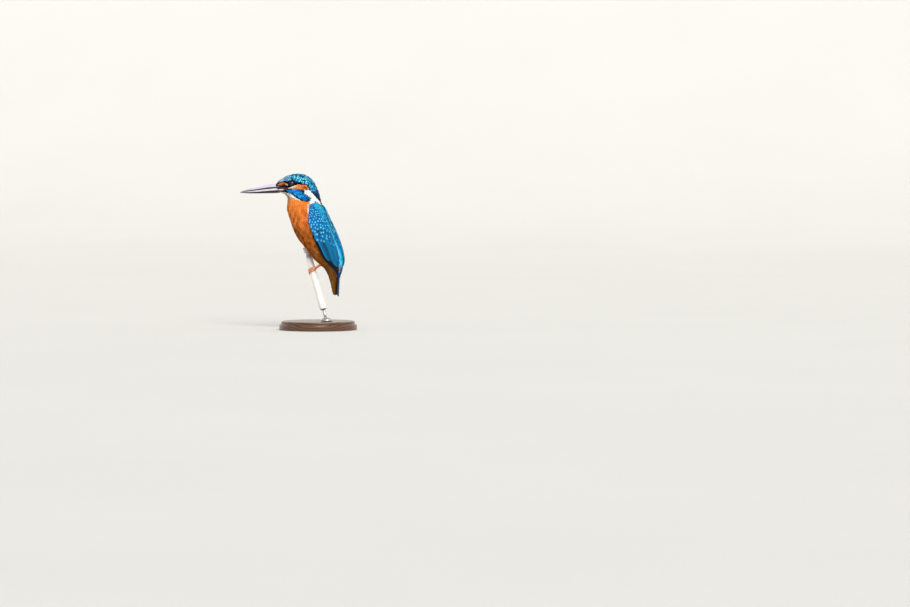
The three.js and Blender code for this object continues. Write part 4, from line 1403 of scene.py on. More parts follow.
def blade(surface, start, end, half, lift, tilt, pointed=0.0, stations=26):
    """A long feather lying on a surface(along, across, lift), with places in shares and half in mm.

    tilt lifts the feather's far edge and sinks its near one. Returns its shape and its attributes.
    """
    t = np.linspace(0, 1, stations) ** 0.85
    v = np.array([-1, -0.6, -0.12, 0, 0.12, 0.6, 1.0])
    over, thick = leaf_section(v, 0.1, 0.16, ridge=0.09).T
    tip = np.sqrt(1 - np.clip((t - 0.86) / 0.142, 0, 1) ** 2) * lerp(1, 1 - 0.6 * t**3, pointed)
    width = half * (0.6 + 0.4 * smoothstep(0, 0.25, t)) * np.maximum(tip, 0.03)
    along = lerp(start[0], end[0], t)
    across = lerp(start[1], end[1], t)[:, None] + over * (width / surface.span(along))[:, None]
    height = lift + tilt * over * (width / half)[:, None] + thick
    values = {
        "along": np.append(np.repeat(t, len(over)), (0, 1)),
        "across": np.append(np.tile(over, stations), (0, 0)),
        "ring": np.append(np.tile(np.arange(len(over)), stations), (0, 0)),
    }
    return loft(surface(along[:, None], across, height)), values


class WingSurface:
    """A wing's outer face, for blades to lie on."""

    def __init__(self, side):
        self.side = side

    def __call__(self, along, across, lift):
        return wing_cover(along, np.clip(across, -0.03, 1.03), self.side, lift)

    def span(self, along):
        return wing_span(np.clip(along, 0, 1), self.side)


class TailSurface:
    """The upper side of the tail: along from its root to its tip, across from left to right."""

    def __call__(self, along, across, lift):
        line = through(TAIL.line, along * 3)
        ahead = unit(through(TAIL.line, along * 3 + 0.05) - through(TAIL.line, along * 3 - 0.05))
        half = self.span(along)
        rise = lift - TAIL.arch * across**2
        x = line[..., 0] - ahead[..., 1] * rise
        z = line[..., 1] + ahead[..., 0] * rise
        x, y, z = np.broadcast_arrays(x, half * across, z)
        return np.stack([x, y, z], -1)

    def span(self, along):
        return lerp(TAIL.root_half, TAIL.tip_half, np.clip(along / 0.85, 0, 1))


def blades_piece(name, feathers, replaces):
    """Joins long feathers into one piece, each with its own colours and its own strip of OFBake."""
    shapes, values, looks = zip(*feathers)
    sizes = [len(points) for points, _ in shapes]
    values = {key: np.concatenate([v[key] for v in values]) for key in values[0]}
    ring = values.pop("ring")
    tint, spark, values["mark"] = (np.repeat(look, sizes, 0) for look in map(np.array, zip(*looks)))
    values |= {"tint": opaque(tint), "spark": opaque(spark)}
    piece = link(name, make_mesh(name, *joined(shapes), values))
    mark_sharp(piece.data, 40)
    corner = fetched(piece.data.loops, "vertex_index", kind=np.int32)
    start = fetched(piece.data.polygons, "loop_start", kind=np.int32)
    face_of = np.searchsorted(start, np.arange(len(corner)), side="right") - 1
    highest = np.zeros(len(start))
    np.maximum.at(highest, face_of, ring[corner])
    around = ring.max() + 1
    wraps = (highest[face_of] > around - 2) & (ring[corner] < 1)
    round_share = np.where(wraps, around, ring[corner]) / around
    number = np.repeat(np.arange(len(sizes)), sizes)[corner]
    u = (number + 0.06 + 0.88 * round_share) / len(sizes)
    v = 0.02 + 0.96 * values["along"][corner]
    store(piece.data, "OFBake", "FLOAT2", np.stack([u, v], -1), "CORNER")
    finish_piece(piece, quill_material(), replaces)


def jittered(draw, base, spark, mark):
    shade = draw.uniform(0.88, 1.12)
    return base * shade, spark * shade, mark


class KINGFISHER_OT_wings(bpy.types.Operator):
    """Each folded wing: its pad, flight feathers, coverts with their bright spots, and scapulars"""

    bl_idname = "kingfisher.wings"
    bl_label = "Wings"

    def execute(self, context):
        for name, side in SIDES.items():
            draw = np.random.default_rng(context.scene.kingfisher_coat.seed + 20)
            for build in (self.pad, self.flight, self.coverts, self.scapulars):
                build(name, side, palette(), draw)
        return {"FINISHED"}

    def pad(self, name, side, c, draw):
        across = np.append(np.tile([*PAD_ACROSS, *PAD_ACROSS[::-1]], PAD_STEPS), (0.5, 0.5))
        tint = lerp(c.mantle, lerp(c.quill, c.wing, 0.65), smoothstep(0.2, 0.7, across)[:, None])
        values = {"tint": opaque(tint)}
        make_piece(f"wing_pad_{name}", wing_pad(side), skin_material(), values=values)

    def flight(self, name, side, c, draw):
        surface = WingSurface(side)
        primaries, inner = [], []
        for k in np.linspace(0, 1, 8):
            start = (0.36 + 0.05 * k, 0.66 + 0.29 * k)
            end = (1.0 - 0.13 * abs(k - 0.25) ** 1.4, lerp(0.34, 0.88, k))
            look = jittered(draw, c.quill, c.quill_edge * 0.3, 0.15 * (k < 0.8))
            primaries.append((*blade(surface, start, end, 2.0, -0.25 - 0.3 * k, 0.22, pointed=0.5), look))
        for k in np.linspace(0, 1, 14):
            start = (0.36, 0.11 + 0.72 * k)
            end = (lerp(0.78, 0.88, np.sin(np.pi * min(k * 1.2, 1))), lerp(0.15, 0.7, k))
            inside = lerp(c.quill, c.quill_edge, 0.5)
            # painted light and shade: the inner secondaries darker on the left wing and lighter on the right
            if k < 0.3:
                inside = lerp(c.quill_edge, c.wing, 0.5) * (0.8 if side > 0 else 1.5)
            outside = lerp(c.quill_edge, c.wing, draw.uniform(0, 0.4))
            look = jittered(draw, inside, outside * (1.3 if k > 0.95 else draw.uniform(0.35, 1.0)), 1.0)
            inner.append((*blade(surface, start, end, 2.5, 0.28 - 0.3 * k, 0.2), look))
        for kind, feathers in (("primaries", primaries), ("secondaries", inner)):
            blades_piece(f"{kind}_{name}", feathers, [f"wing_{name}_{kind}"])

    def coverts(self, name, side, c, draw):
        roots, along, across = covert_roots(side, COVERT_ROWS, (0.12, 0.98), 0.0, draw)
        ground = c.wing * draw.normal(1, 0.1, (len(along), 1))
        roots["tint"] = lerp(ground, c.mantle, 0.5 * smoothstep(0.5, 0.1, across)[:, None])
        roots["spark"] = c.wing_spot * draw.uniform(0.75, 1.1, (len(along), 1))
        look = plumage_material("covert", (0.84, 0.13, 0.42), roughness=0.48)
        grow(f"coverts_{name}", "covert", roots, look, [f"wing_{name}_coverts"])

    def scapulars(self, name, side, c, draw):
        shares = (0.09, 0.4) if side > 0 else (-0.1, 0.4)
        roots, along, across = covert_roots(side, SCAPULAR_ROWS, shares, 0.3, draw)
        ground = c.mantle * draw.normal(1, 0.08, (len(along), 1))
        blue = smoothstep(0.1, 0.3, along) if side > 0 else smoothstep(0.25, 0.5, along + 2 * across)
        # painted highlight: the right wing's scapulars paler along their near edge, for light grazing the
        # back's outline
        pale = 0.4 * (side < 0) * smoothstep(0.1, 0.0, across) * smoothstep(0.5, 0.35, along)
        ground = lerp(ground, c.wing, blue[:, None])
        roots["tint"] = lerp(ground, c.wing_spot * 0.7, pale[:, None])
        roots["spark"] = c.azure_spot * draw.uniform(0.7, 1.0, (len(along), 1))
        look = plumage_material("scapular", (0.85, 0.12, 0.45), roughness=0.48)
        grow(f"scapulars_{name}", "covert", roots, look, [f"wing_{name}_scapulars"])


class KINGFISHER_OT_tail(bpy.types.Operator):
    """Twelve tail feathers in one short stack, the middle pair on top"""

    bl_idname = "kingfisher.tail"
    bl_label = "Tail"

    def execute(self, context):
        c = palette()
        draw = np.random.default_rng(context.scene.kingfisher_coat.seed + 30)
        feathers = []
        for k in np.linspace(-1, 1, 12):
            start, end = (0.1, 0.45 * k), (1.0 - 0.05 * k * k, 0.68 * k)
            # painted shade: the outer feathers stay near black for the tail's shadowed edge, and only the
            # middle ones take the blue
            middle = smoothstep(0.55, 0.25, abs(k))
            base = lerp(c.quill, c.malar, 0.3 * middle)
            look = jittered(draw, base, c.wing * 0.8, 0.9 * middle)
            shape = blade(TailSurface(), start, end, 2.5, -0.1 - 0.45 * abs(k), 0.1 * np.sign(k))
            feathers.append((*shape, look))
        blades_piece("tail_feathers", feathers, ["tail"])
        return {"FINISHED"}


# ---- Eyes and bill ----


def eye_material():
    """A dark wet eye: black pupil, deep brown iris."""

    def build(tree):
        polar = attribute(tree, "along")
        fibres = ranged(noise(object_place(tree), 2600.0), 0.35, 0.65)
        iris = mixed(fibres, (0.004, 0.002, 0.001), (0.014, 0.006, 0.003))
        ring = ranged(polar, 0.33, 0.38) * ranged(polar, 0.78, 0.68)
        return mixed(ring, (0.002, 0.0017, 0.0016), iris), None

    return material("wet_eye", build, Roughness=0.04, Specular_IOR_Level=0.7)


def lid_material():
    """Bare dark skin of the lids, finely folded."""

    def build(tree):
        folds = noise(object_place(tree), 2200.0, detail=4)
        return mixed(ranged(folds, 0.35, 0.65), (0.002, 0.002, 0.003), (0.007, 0.007, 0.009)), folds

    return material("lid", build, Roughness=0.5, Specular_IOR_Level=0.08, bump=0.1)


def eye_axes(look):
    """Ways forwards and up, square to the way an eye looks, and that way."""
    forwards = unit(square_to(np.array((-1.0, 0, -0.12)), look))
    up = np.cross(forwards, look)
    return forwards, up * np.sign(up[2]), look


def eyeball_shape(centre, look):
    polar = np.linspace(0.02, 0.75 * np.pi, 28)
    profile = np.stack([np.sin(polar), (1 + 0.02 * hump(polar / 0.5)) * np.cos(polar)], -1)
    shape = lathe(EYE_RADIUS * profile, eye_axes(look), centre, 48)
    return shape, np.arccos(np.clip(unit(shape[0] - centre) @ look, -1, 1)) / (np.pi / 2)


def lid_shape(centre, look):
    """A ring of bare skin that opens in a slight almond over the eye."""
    distance = np.array((2.5, 2.6, 2.76, 2.98, 3.22, 3.52, 3.9, 3.6, 2.75))
    height = np.array((2.2, 2.5, 2.62, 2.52, 2.2, 1.75, 1.3, 0.95, 1.5))
    a = circle(96)[:, None]
    almond = 1 + 0.07 * np.cos(2 * a) + 0.03 * np.cos(a) ** 3
    fold = 0.035 * np.sin(a * 23) + 0.025 * np.sin(a * 37 + 1)
    distance = (distance + fold * (distance > 2.7)) * almond
    return ring_shape(about(eye_axes(look), centre, a, height + fold * 0.8, distance))


def ring_shape(rings):
    """A closed ring, such as a torus, over sections that come back to the first."""
    count, around = rings.shape[:2]
    i, j = np.meshgrid(np.arange(count), np.arange(around), indexing="ij")
    k, n = (j + 1) % around, (i + 1) % count
    faces = np.stack([i * around + j, i * around + k, n * around + k, n * around + j], -1).reshape(-1, 4)
    return facing_out(rings.reshape(-1, 3), faces.tolist())


class KINGFISHER_OT_eyes(bpy.types.Operator):
    """The wet eyes and the bare lids round them"""

    bl_idname = "kingfisher.eyes"
    bl_label = "Eyes"

    def execute(self, context):
        for name, (centre, look) in eye_places().items():
            shape, polar = eyeball_shape(centre, look)
            values, solids = {"along": polar}, [f"eye_{name}"]
            make_piece(f"eyeball_{name}", shape, eye_material(), solids, values)
            make_piece(f"lids_{name}", lid_shape(centre, look), lid_material())
        return {"FINISHED"}


def height_at(points, x):
    """The height of one of the bill's lines at x."""
    line = through(points, np.linspace(0, len(points) - 1, 400))
    return np.interp(-np.asarray(x, float), -line[:, 0], line[:, 1])


# The horny rims of the gape, which run back along the cheek: x, z and half-height in the profile.
GAPE_LIPS = {
    "culmen": ((-41.8, 146.7, 0.95), (-38, 146.7, 0.8), (-33.5, 146.3, 0.5), (-30, 145.6, 0.12)),
    "gonys": ((-41.2, 143.3, 1.7), (-38, 143.7, 1.4), (-33.5, 144.6, 0.75), (-30, 145.2, 0.12)),
}


def on_side(profile, side):
    """The places (s, angle) on one side of the head that are nearest to each x, z of a profile."""
    grid = np.meshgrid(np.linspace(0.02, 3.5, 260), side * np.linspace(0.7, 2.6, 220))
    s, angle = (g.ravel() for g in grid)
    p = body_point(s, angle, turn=False)[:, ::2]
    first = [np.argmin(norm(p - at)) for at in profile]
    ease = np.ones(5) / 5
    return (np.convolve(np.pad(line[first], 2, "edge"), ease, "valid") for line in (s, angle))


def bill_share(points, outer):
    """How far up from the gape's line points are, as a share of the mandible's height there."""
    profile = turned(points, -HEAD_TURN)
    gape = height_at(BILL["gape"], profile[:, 0])
    return (profile[:, 2] - gape) / (height_at(BILL[outer], profile[:, 0]) - gape)


def gape_lip(outer, side, count=36):
    line = through(GAPE_LIPS[outer], np.linspace(0, 3, count))
    place, _, outward = body_frame(*on_side(line[:, :2], side))
    return bar(place, outward, line[:, 2], np.minimum(0.42, line[:, 2] * 1.2), 14)


def mandible_shape(outer, steps=90, around=28):
    side = 1 if outer == "culmen" else -1
    t = np.linspace(0, 1, steps)[:, None] ** 0.9
    x = lerp(BILL["root_x"], BILL["tip_x"], t)
    gape = height_at(BILL["gape"], x) + side * 0.1
    height = np.maximum(side * (height_at(BILL[outer], x) - gape), 0.3)
    half = lerp(BILL["half_width"], BILL["tip_half_width"], t**0.85)
    a = np.linspace(0, np.pi, around)[None]
    swell = np.sin(a) ** 0.8
    ridge = 0.07 * hump((a - np.pi / 2) / 0.16) * smoothstep(0, 0.1, t)
    growth = 1 + 0.012 * np.sin(x * 1.9) * np.sin(a)
    y = half * np.cos(a) * growth
    z = gape + side * (height * swell + ridge * height)
    if side > 0:
        slit = hump((x + 41.2) / 1.7) * hump((swell * height - 1.75) / 0.35)
        y = y - np.sign(np.cos(a)) * 0.7 * slit * (np.abs(np.cos(a)) > 0.15)
    groove = 1 - 0.05 * hump((swell - 0.25) / 0.1)
    y = y * groove
    cutting = np.linspace(-1, 1, 9)[1:-1]
    floor = np.stack([x * np.ones_like(cutting), half * cutting, gape + side * 0.12 * (1 - cutting**2)], -1)
    rings = np.concatenate([np.stack([x * np.ones_like(a), y, z], -1), floor], 1)
    return loft(turned(rings))


# Each mandible's painted reflection of the sky, a pale band on its flank: the shares of its height from the
# gape where the band starts and is full, and where it is gone and still full, then its colour and strength,
# and how far back it goes.
PAINTED_REFLECTION = {
    "upper": (0.3, 0.6, 1.2, 0.98, (200, 198, 216), 0.85, -0.038),
    "lower": (0.0, 0.1, 0.5, 0.34, (222, 210, 220), 0.85, -0.032),
}


def bill_material(name):
    """Horn: near black, with a painted reflection of the sky as a pale band on each flank, and ruddy at the
    gape.
    """
    start, full_from, gone, full_to, pale, strength, back = PAINTED_REFLECTION[name]

    def build(tree):
        place = object_place(tree)
        x, _, z = (value(tree, "ShaderNodeSeparateXYZ", {0: place}, axis) for axis in "XYZ")
        streak = noise(stretched(place, 0.16, 1.0, 1.0), 1500.0, detail=4)
        horn, reflection_tone = palette().bill, np.array(linear(*pale))
        base = mixed(ranged(streak, 0.3, 0.7), horn * 0.5, horn * 1.5)
        # painted reflection of the sky: a pale band across each flank, fading towards the tip and the root
        share = noise(place, 160.0) * 0.16 + attribute(tree, "across") - 0.08
        flank = ranged(share, start, full_from) * ranged(share, gone, full_to)
        flank = flank * ranged(x, -0.079, -0.062, 0.25, 1.0) * ranged(x, back, back - 0.003)
        base = mixed(flank * strength, base, mixed(streak, reflection_tone, reflection_tone * 1.3))
        ruddy = ranged(x, -0.036, -0.031) * ranged(z, 0.148, 0.1462) * 0.6
        return mixed(ruddy, base, (0.13, 0.025, 0.015)), streak

    return material(f"horn_{name}", build, Roughness=0.24, Specular_IOR_Level=0.5, bump=0.02)


class KINGFISHER_OT_bill(bpy.types.Operator):
    """The dagger bill: two mandibles with a ridge, nostrils and a line between them"""

    bl_idname = "kingfisher.bill"
    bl_label = "Bill"

    def execute(self, context):
        for name, outer, node_name in (("upper", "culmen", "bill_upper"), ("lower", "gonys", "bill_lower")):
            shape = joined([mandible_shape(outer), *(gape_lip(outer, side) for side in SIDES.values())])
            values = {"across": bill_share(shape[0], outer)}
            make_piece(f"{name}_mandible", shape, bill_material(name), [node_name], values)
        return {"FINISHED"}


# ---- Feet ----


def toe_rise(rise, share):
    return lerp(rise[0], rise[1], share**1.5)


def toe_end(foot, reach):
    """How far round from the palm a toe's flesh ends; the foot's curl takes its front toes further."""
    return abs(reach) - CLAW_REACH + foot["curl"] * (reach > 0)


def toe_line(foot, rise, reach, radius, count=40):
    """A toe's middle line round the reed, its outward ways, and how thick it is at each point."""
    last = toe_end(foot, reach)
    angle = np.linspace(TOE_START - 12, last, count)
    share = angle / last
    knuckle = 0.1 * np.cos(share * 3 * 2 * np.pi)
    scute = 0.05 * np.abs(np.sin(share * 9 * np.pi))
    size = radius * (1 - 0.18 * share) * (1 + knuckle * 0.6 + scute)
    way = np.sign(reach) * foot["turn"]
    distance = foot["core"] + 0.12 + size
    points = grip_point(foot, foot["palm"] + way * angle, toe_rise(rise, share), distance)
    return points, points - reed_point(foot["height"]), size


def foot_shape(name):
    foot = FEET[name]
    ankle = np.array(THIGHS[name][1], float)
    palm_distance = foot["core"] + GAP + PALM.half_thickness
    heel = grip_point(foot, foot["palm"], 0, palm_distance + 0.5)
    t = np.linspace(-0.35, 1, 24)[:, None]
    shank = ankle + (heel - ankle) * t
    rings = 1 + 0.05 * np.abs(np.sin(t[:, 0] * 12))
    size = lerp(1.45, 1.2, np.clip(t[:, 0], 0, 1)) * rings
    parts = [bar(shank, np.array((0.0, 0, 1.0)), size, size)]
    angle = np.linspace(foot["palm"] - PALM.spread, foot["palm"] + PALM.spread, 9)
    middle = grip_point(foot, angle, 0, palm_distance)
    edge = 1 - 0.25 * np.abs(np.linspace(-1, 1, 9)) ** 3
    out = middle - reed_point(foot["height"])
    parts.append(bar(middle, out, PALM.half_width * edge, PALM.half_thickness * edge, 24))
    for rise, reach, radius in TOES.values():
        points, out, size = toe_line(foot, rise, reach, radius)
        parts.append(bar(points, out, size, size))
    return joined(parts)


def claw_shape(name, toe):
    foot = FEET[name]
    rise, reach, radius = TOES[toe]
    last = toe_end(foot, reach)
    t = np.linspace(-0.12, 1, 26)
    angle = last + t * CLAW_REACH
    way = np.sign(reach) * foot["turn"]
    arch = 0.5 * np.sin(np.pi * np.clip(t, 0, 1))
    distance = foot["core"] + GAP + lerp(radius * 0.85, 0.12, np.clip(t, 0, 1) ** 2) + arch
    points = grip_point(foot, foot["palm"] + way * angle, toe_rise(rise, angle / last), distance)
    size = lerp(0.5, 0.05, np.clip(t, 0, 1) ** 1.3)
    return bar(points, points - reed_point(foot["height"]), size * 0.72, size, 14)


def foot_material():
    """Scaled orange-red skin with dark creases, lighter and creamier on top and redder underneath as painted
    light and shade.
    """

    def build(tree):
        place, red = object_place(tree), palette().foot
        cells = {"Vector": place, "Scale": 1500.0}
        cells = value(tree, "ShaderNodeTexVoronoi", cells, "Distance", feature="DISTANCE_TO_EDGE")
        crease = ranged(cells, 0.0, 0.12)
        # painted light and shade: lighter and creamier where the skin faces up, redder and darker underneath
        lit = ranged(noise(place, 420.0), 0.35, 0.65) * 0.3 + attribute(tree, "up") - 0.15
        base = mixed(ranged(lit, -0.6, 0.35), red * (0.95, 0.34, 0.24), np.minimum(red * (1.1, 2.0, 2.3), 1))
        return mixed(crease, red * (0.45, 0.35, 0.35), base), crease

    return material("foot_skin", build, Roughness=0.45, bump=0.06, Subsurface_Weight=0.08)


def claw_material():
    def build(tree):
        streak = noise(object_place(tree), 1500.0)
        return mixed(ranged(streak, 0.3, 0.7), (0.015, 0.01, 0.008), (0.07, 0.045, 0.035)), streak

    return material("claw_horn", build, Roughness=0.3, bump=0.02)


class KINGFISHER_OT_feet(bpy.types.Operator):
    """Two small scaled feet that grip the reed, each toe with its claw"""

    bl_idname = "kingfisher.feet"
    bl_label = "Feet"

    def execute(self, context):
        for name in SIDES:
            piece = remeshed(f"foot_{name}", foot_shape(name), 0.16, smoothing=3)
            # up: how far each point faces upwards, which sets the foot's painted light and shade
            store(piece.data, "up", "FLOAT", fetched(piece.data.vertices, "normal", 3)[:, 2])
            toes = [f"toe_{name}_{toe}" for toe in TOES]
            finish_piece(piece, foot_material(), [f"tarsus_{name}", *toes])
            for toe in TOES:
                claw = f"{name}_{toe}_talon"
                make_piece(claw, claw_shape(name, toe), claw_material(), [f"claw_{name}_{toe}"])
        return {"FINISHED"}


# ---- Reed and stand ----


def lathe(profile, axes, start, around=64):
    """A closed skin of revolution over points (distance off the axis, rise up it from start)."""
    distance, rise = np.asarray(profile, float).T[..., None]
    return loft(about(axes, start, circle(around), rise, distance))


def up_reed(height):
    return float(height_up_reed(reed_point(height)))


def reed_shape():
    length, joint = up_reed(REED.top), up_reed(REED.node)
    r, hollow = REED.radius, REED.hollow
    h = np.linspace(0, length, 90)
    swell = (REED.node_radius - r) * hump((h - joint) / 1.1) - 0.22 * hump((h - joint + 1.3) / 0.3)
    outer = np.stack([r + swell + 0.02 * np.sin(h * 0.9), h], -1)
    outer[[0, -1], 0] = r - 0.12
    inner_top = [(hollow, length - 0.05), (hollow - 0.1, length - 1.5), (0.05, length - 2.5)]
    inner_bottom = [(0.05, 9.0), (hollow - 0.1, 8.0), (hollow, 0.05)]
    return lathe([*inner_bottom, *outer, *inner_top], REED_AXES, reed_point(REED.bottom))


def sheath_shape():
    """A dry leaf sheath round the lower reed, split down one side and frayed at the top."""
    t = np.linspace(0, 1, 60)[:, None]
    gap = lerp(0.1, 0.5, t**2)
    a = lerp(gap, 2 * np.pi - gap, np.linspace(0, 1, 72)) + math.radians(205)
    fray = 1.6 * t**6 * (0.5 + 0.5 * np.sin(a * 5) * np.cos(a * 2.3 + 1))
    rise = up_reed(SHEATH.top) * t - fray + 0.4
    outer = lerp(SHEATH.lower, SHEATH.upper, t) + 0.04 * np.sin(a * 17)
    inner = np.maximum(outer - 0.34, SHEATH.inner + 0.02)
    outside, inside = (about(REED_AXES, reed_point(REED.bottom), a, rise, r) for r in (outer, inner))
    return loft(np.concatenate([outside, inside[:, ::-1]], 1))


def stem_values(points):
    """Coordinates that follow the reed: round it, and slowly up it."""
    away, _ = off_reed(points)
    up = height_up_reed(points)
    return {"stem": np.stack([away @ REED_OUT * 2.5, away @ REED_LEFT * 2.5, up * 0.05], -1), "up": up}


def reed_material(name, light, dark, joint=0.0):
    """Dry straw with long fibres, weathered grey in patches, brown at the joint."""

    def build(tree):
        fibre = noise(attribute(tree, "stem", "Vector"), 4.5, detail=5, roughness=0.65)
        place = object_place(tree)
        base = mixed(ranged(fibre, 0.36, 0.64), dark, light)
        base = mixed(ranged(noise(place, 95.0), 0.5, 0.72) * 0.3, base, dark)
        base = mixed(ranged(noise(place, 900.0), 0.66, 0.72) * 0.5, base, (0.16, 0.1, 0.05))
        near = (attribute(tree, "up") - joint).maths("ABSOLUTE")
        mark = ranged(near, 1.5, 0.5) * (0.3 if joint else 0.0)
        return mixed(mark, base, (0.2, 0.12, 0.05)), fibre

    return material(name, build, Roughness=0.5, bump=0.12)


class KINGFISHER_OT_perch(bpy.types.Operator):
    """The cut length of dry reed with its joint, and the leaf sheath round its lower half"""

    bl_idname = "kingfisher.perch"
    bl_label = "Perch"

    def execute(self, context):
        straw = palette().reed
        shape = reed_shape()
        # the stem above the sheath is darker and greyer than the sheath
        stem_tones = (straw * (0.76, 0.71, 0.72), straw * (0.42, 0.37, 0.38))
        look = reed_material("aged_straw", *stem_tones, up_reed(REED.node))
        make_piece("reed_stem", shape, look, ["perch_reed"], stem_values(shape[0]))
        shape = sheath_shape()
        look = reed_material("sheath_straw", straw, straw * (0.82, 0.81, 0.79))
        make_piece("reed_sheath", shape, look, ["perch_sheath"], stem_values(shape[0]))
        return {"FINISHED"}


def arc(centre, radius, start, end, count):
    a = np.radians(np.linspace(start, end, count))
    return np.stack([centre[0] + radius * np.cos(a), centre[1] + radius * np.sin(a)], -1)


def wood_material():
    """Turned, waxed wood with long grain and pores."""

    def build(tree):
        place, brown = object_place(tree), palette().wood
        warp = noise(stretched(place, 0.12, 1.0, 1.0), 40.0)
        from_heart = vectors("ADD", stretched(place, 0.06, 1.0, 1.0), (0, 0.012, 0.045))
        rings = (warp * 9.0 + vectors("LENGTH", from_heart) * 2600.0).maths("SINE")
        base = mixed(ranged(rings, -1.0, 1.0), brown * 0.55, np.minimum(brown * 1.35, 1))
        pores = ranged(noise(stretched(place, 0.05, 1.0, 1.0), 2600.0), 0.58, 0.68)
        return mixed(pores * 0.6, base, brown * 0.25), pores

    return material("turned_wood", build, Roughness=0.32, Coat_Weight=0.25, Coat_Roughness=0.2, bump=-0.03)


def steel_material():
    """Brushed steel."""

    def build(tree):
        brush = noise(stretched(object_place(tree), 1.0, 1.0, 0.06), 2800.0)
        return mixed(brush, (0.5, 0.5, 0.52), (0.66, 0.66, 0.68)), brush

    return material("brushed_steel", build, Roughness=0.28, Metallic=1.0, bump=0.008)


class KINGFISHER_OT_stand(bpy.types.Operator):
    """The display stand: a turned wooden base, a steel collar and the rod in the reed's foot"""

    bl_idname = "kingfisher.stand"
    bl_label = "Stand"

    def execute(self, context):
        self.turning("plinth", "base", self.plinth_edge, wood_material(), "stand_wood", 128)
        self.turning("collar", "socket", self.collar_edge, steel_material(), "stand_steel", 96)
        bottom = -up_reed(2 * REED.bottom - 5.0)
        profile = [(0.05, bottom), (1.5, bottom), (1.5, 7.0), (0.05, 7.0)]
        rod = lathe(profile, REED_AXES, reed_point(REED.bottom), 40)
        make_piece("stand_pin", rod, steel_material(), ["stand_rod"])
        return {"FINISHED"}

    def turning(self, name, part, edge, look, slot, around):
        """A part turned on a lathe, in the place of the plain one."""
        low, high = (np.array(corner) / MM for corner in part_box(f"stand_{part}"))
        radius, height = (high[0] - low[0]) / 2, high[2] - low[2]
        profile = [(0.05, 0.0), *edge(radius, height), (0.05, height)]
        middle = ((low[0] + high[0]) / 2, (low[1] + high[1]) / 2, low[2])
        make_piece(f"stand_{name}", lathe(profile, np.eye(3), middle, around), look, [f"stand_{part}"])

    def plinth_edge(self, radius, height):
        return [
            *arc((radius - 0.8, 0.8), 0.8, -90, 0, 6), *arc((radius - 1.4, 4.4), 1.4, 0, 40, 5),
            *arc((radius - 0.6, 6.3), 1.5, 215, 170, 6), *arc((radius - 3.6, height - 1.5), 1.5, 10, 90, 8),
            (radius - 12, height),
        ]

    def collar_edge(self, radius, height):
        dome = arc((0, 0.7), 1.0, 0, 86, 20) * (radius, height - 0.7) - (0, 0.7 * (height - 1.7))
        return [(radius, 0.0), *dome]


# ---- Stage ----


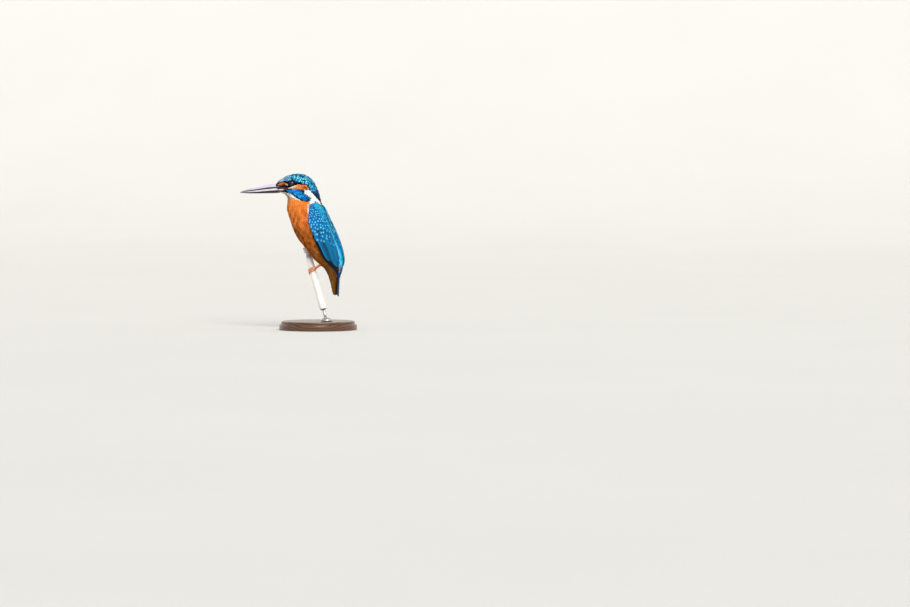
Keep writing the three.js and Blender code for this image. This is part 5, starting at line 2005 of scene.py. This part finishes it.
class KINGFISHER_OT_stage(bpy.types.Operator):
    """A plain pale floor that sweeps up into a backdrop, soft lights and the camera"""

    bl_idname = "kingfisher.stage"
    bl_label = "Stage"

    def execute(self, context):
        stage = context.scene.kingfisher_stage
        self.floor(stage)
        self.lights()
        self.camera(context, stage)
        return {"FINISHED"}

    def floor(self, stage):
        reach, sweep = 14000.0, 2600.0
        turn = arc((0, sweep), sweep, -90, 0, 24)
        profile = [(-reach, 0.0), (0, 0.0), *turn[1:], (sweep, 9000.0)]
        rows = [[(x, 2600 + y, z) for y, z in profile] for x in np.linspace(-reach, reach, 9)]
        count = len(profile)
        faces = [
            (i * count + j, (i + 1) * count + j, (i + 1) * count + j + 1, i * count + j + 1)
            for i in range(len(rows) - 1)
            for j in range(count - 1)
        ]
        mesh = make_mesh("floor", np.array(rows).reshape(-1, 3), faces)

        def build(tree):
            pale = np.array(stage.floor)
            grain = noise(object_place(tree), 3.0)
            return mixed(grain, pale * 0.97, np.minimum(pale * 1.03, 1)), None

        mesh.materials.append(material("pale_floor", build, Roughness=0.85))
        link("floor", mesh)

    def lights(self):
        world = bpy.context.scene.world or bpy.data.worlds.new("studio")
        bpy.context.scene.world = world
        world.use_nodes = True
        background = world.node_tree.nodes["Background"]
        background.inputs["Color"].default_value = (0.96, 0.98, 1.0, 1)
        background.inputs["Strength"].default_value = 0.33
        lamps = (
            ("key", (0.36, -0.8, 0.8), 36, 2.9, (1.0, 0.98, 0.95)),
            ("fill", (-1.0, -0.5, 0.4), 130, 0.75, (1.0, 1.0, 1.0)),
            ("rim", (1.0, 0.5, 0.6), 80, 0.95, (0.96, 0.98, 1.0)),
        )
        for name, way, spread_angle, strength, tone in lamps:
            lamp = bpy.data.lights.new(name, "SUN")
            lamp.angle = math.radians(spread_angle)
            lamp.energy = strength
            lamp.color = tone
            holder = link(name, lamp)
            holder.location = way
            holder.rotation_euler = Vector(way).to_track_quat("Z", "Y").to_euler()

    def camera(self, context, stage):
        camera = bpy.data.cameras.new("camera")
        camera.lens = camera.sensor_width * stage.distance / stage.width
        camera.clip_end = 60
        holder = link("camera", camera)
        azimuth, elevation = stage.azimuth, stage.elevation
        right = Vector((math.cos(azimuth), math.sin(azimuth), 0))
        towards = Vector((-math.sin(azimuth), math.cos(azimuth), 0))
        target = right * stage.right + Vector((0, 0, stage.up))
        back = towards * -math.cos(elevation) + Vector((0, 0, math.sin(elevation)))
        holder.location = target + back * stage.distance
        holder.rotation_euler = (-back).to_track_quat("-Z", "Y").to_euler()
        context.scene.camera = holder
        context.scene.view_settings.view_transform = "Standard"


# ---- Panel, registration and the whole model ----

PIECES = (
    KINGFISHER_OT_skin,
    KINGFISHER_OT_eyes,
    KINGFISHER_OT_bill,
    KINGFISHER_OT_body_coat,
    KINGFISHER_OT_wings,
    KINGFISHER_OT_tail,
    KINGFISHER_OT_feet,
    KINGFISHER_OT_perch,
    KINGFISHER_OT_stand,
    KINGFISHER_OT_stage,
)
GROUPS = {
    "kingfisher_colours": KingfisherColours,
    "kingfisher_coat": KingfisherCoat,
    "kingfisher_stage": KingfisherStage,
}


class KINGFISHER_PT_panel(bpy.types.Panel):
    """Lists the pieces, and the sizes and colours that they use"""

    bl_idname = "KINGFISHER_PT_panel"
    bl_label = "Kingfisher"
    bl_space_type = "VIEW_3D"
    bl_region_type = "UI"
    bl_category = "Kingfisher"

    def draw(self, context):
        for piece in PIECES:
            self.layout.operator(piece.bl_idname)
        for name, group in GROUPS.items():
            box = self.layout.box()
            for key in group.__annotations__:
                box.prop(getattr(context.scene, name), key)


def register():
    for kind in (*GROUPS.values(), *PIECES, KINGFISHER_PT_panel):
        bpy.utils.register_class(kind)
    for name, group in GROUPS.items():
        setattr(bpy.types.Scene, name, bpy.props.PointerProperty(type=group))


def unregister():
    for name in GROUPS:
        delattr(bpy.types.Scene, name)
    for kind in (KINGFISHER_PT_panel, *PIECES, *GROUPS.values()):
        bpy.utils.unregister_class(kind)


def main():
    register()
    for piece in PIECES:
        getattr(bpy.ops.kingfisher, piece.bl_idname.split(".")[1])()


if __name__ == "__main__":
    main()
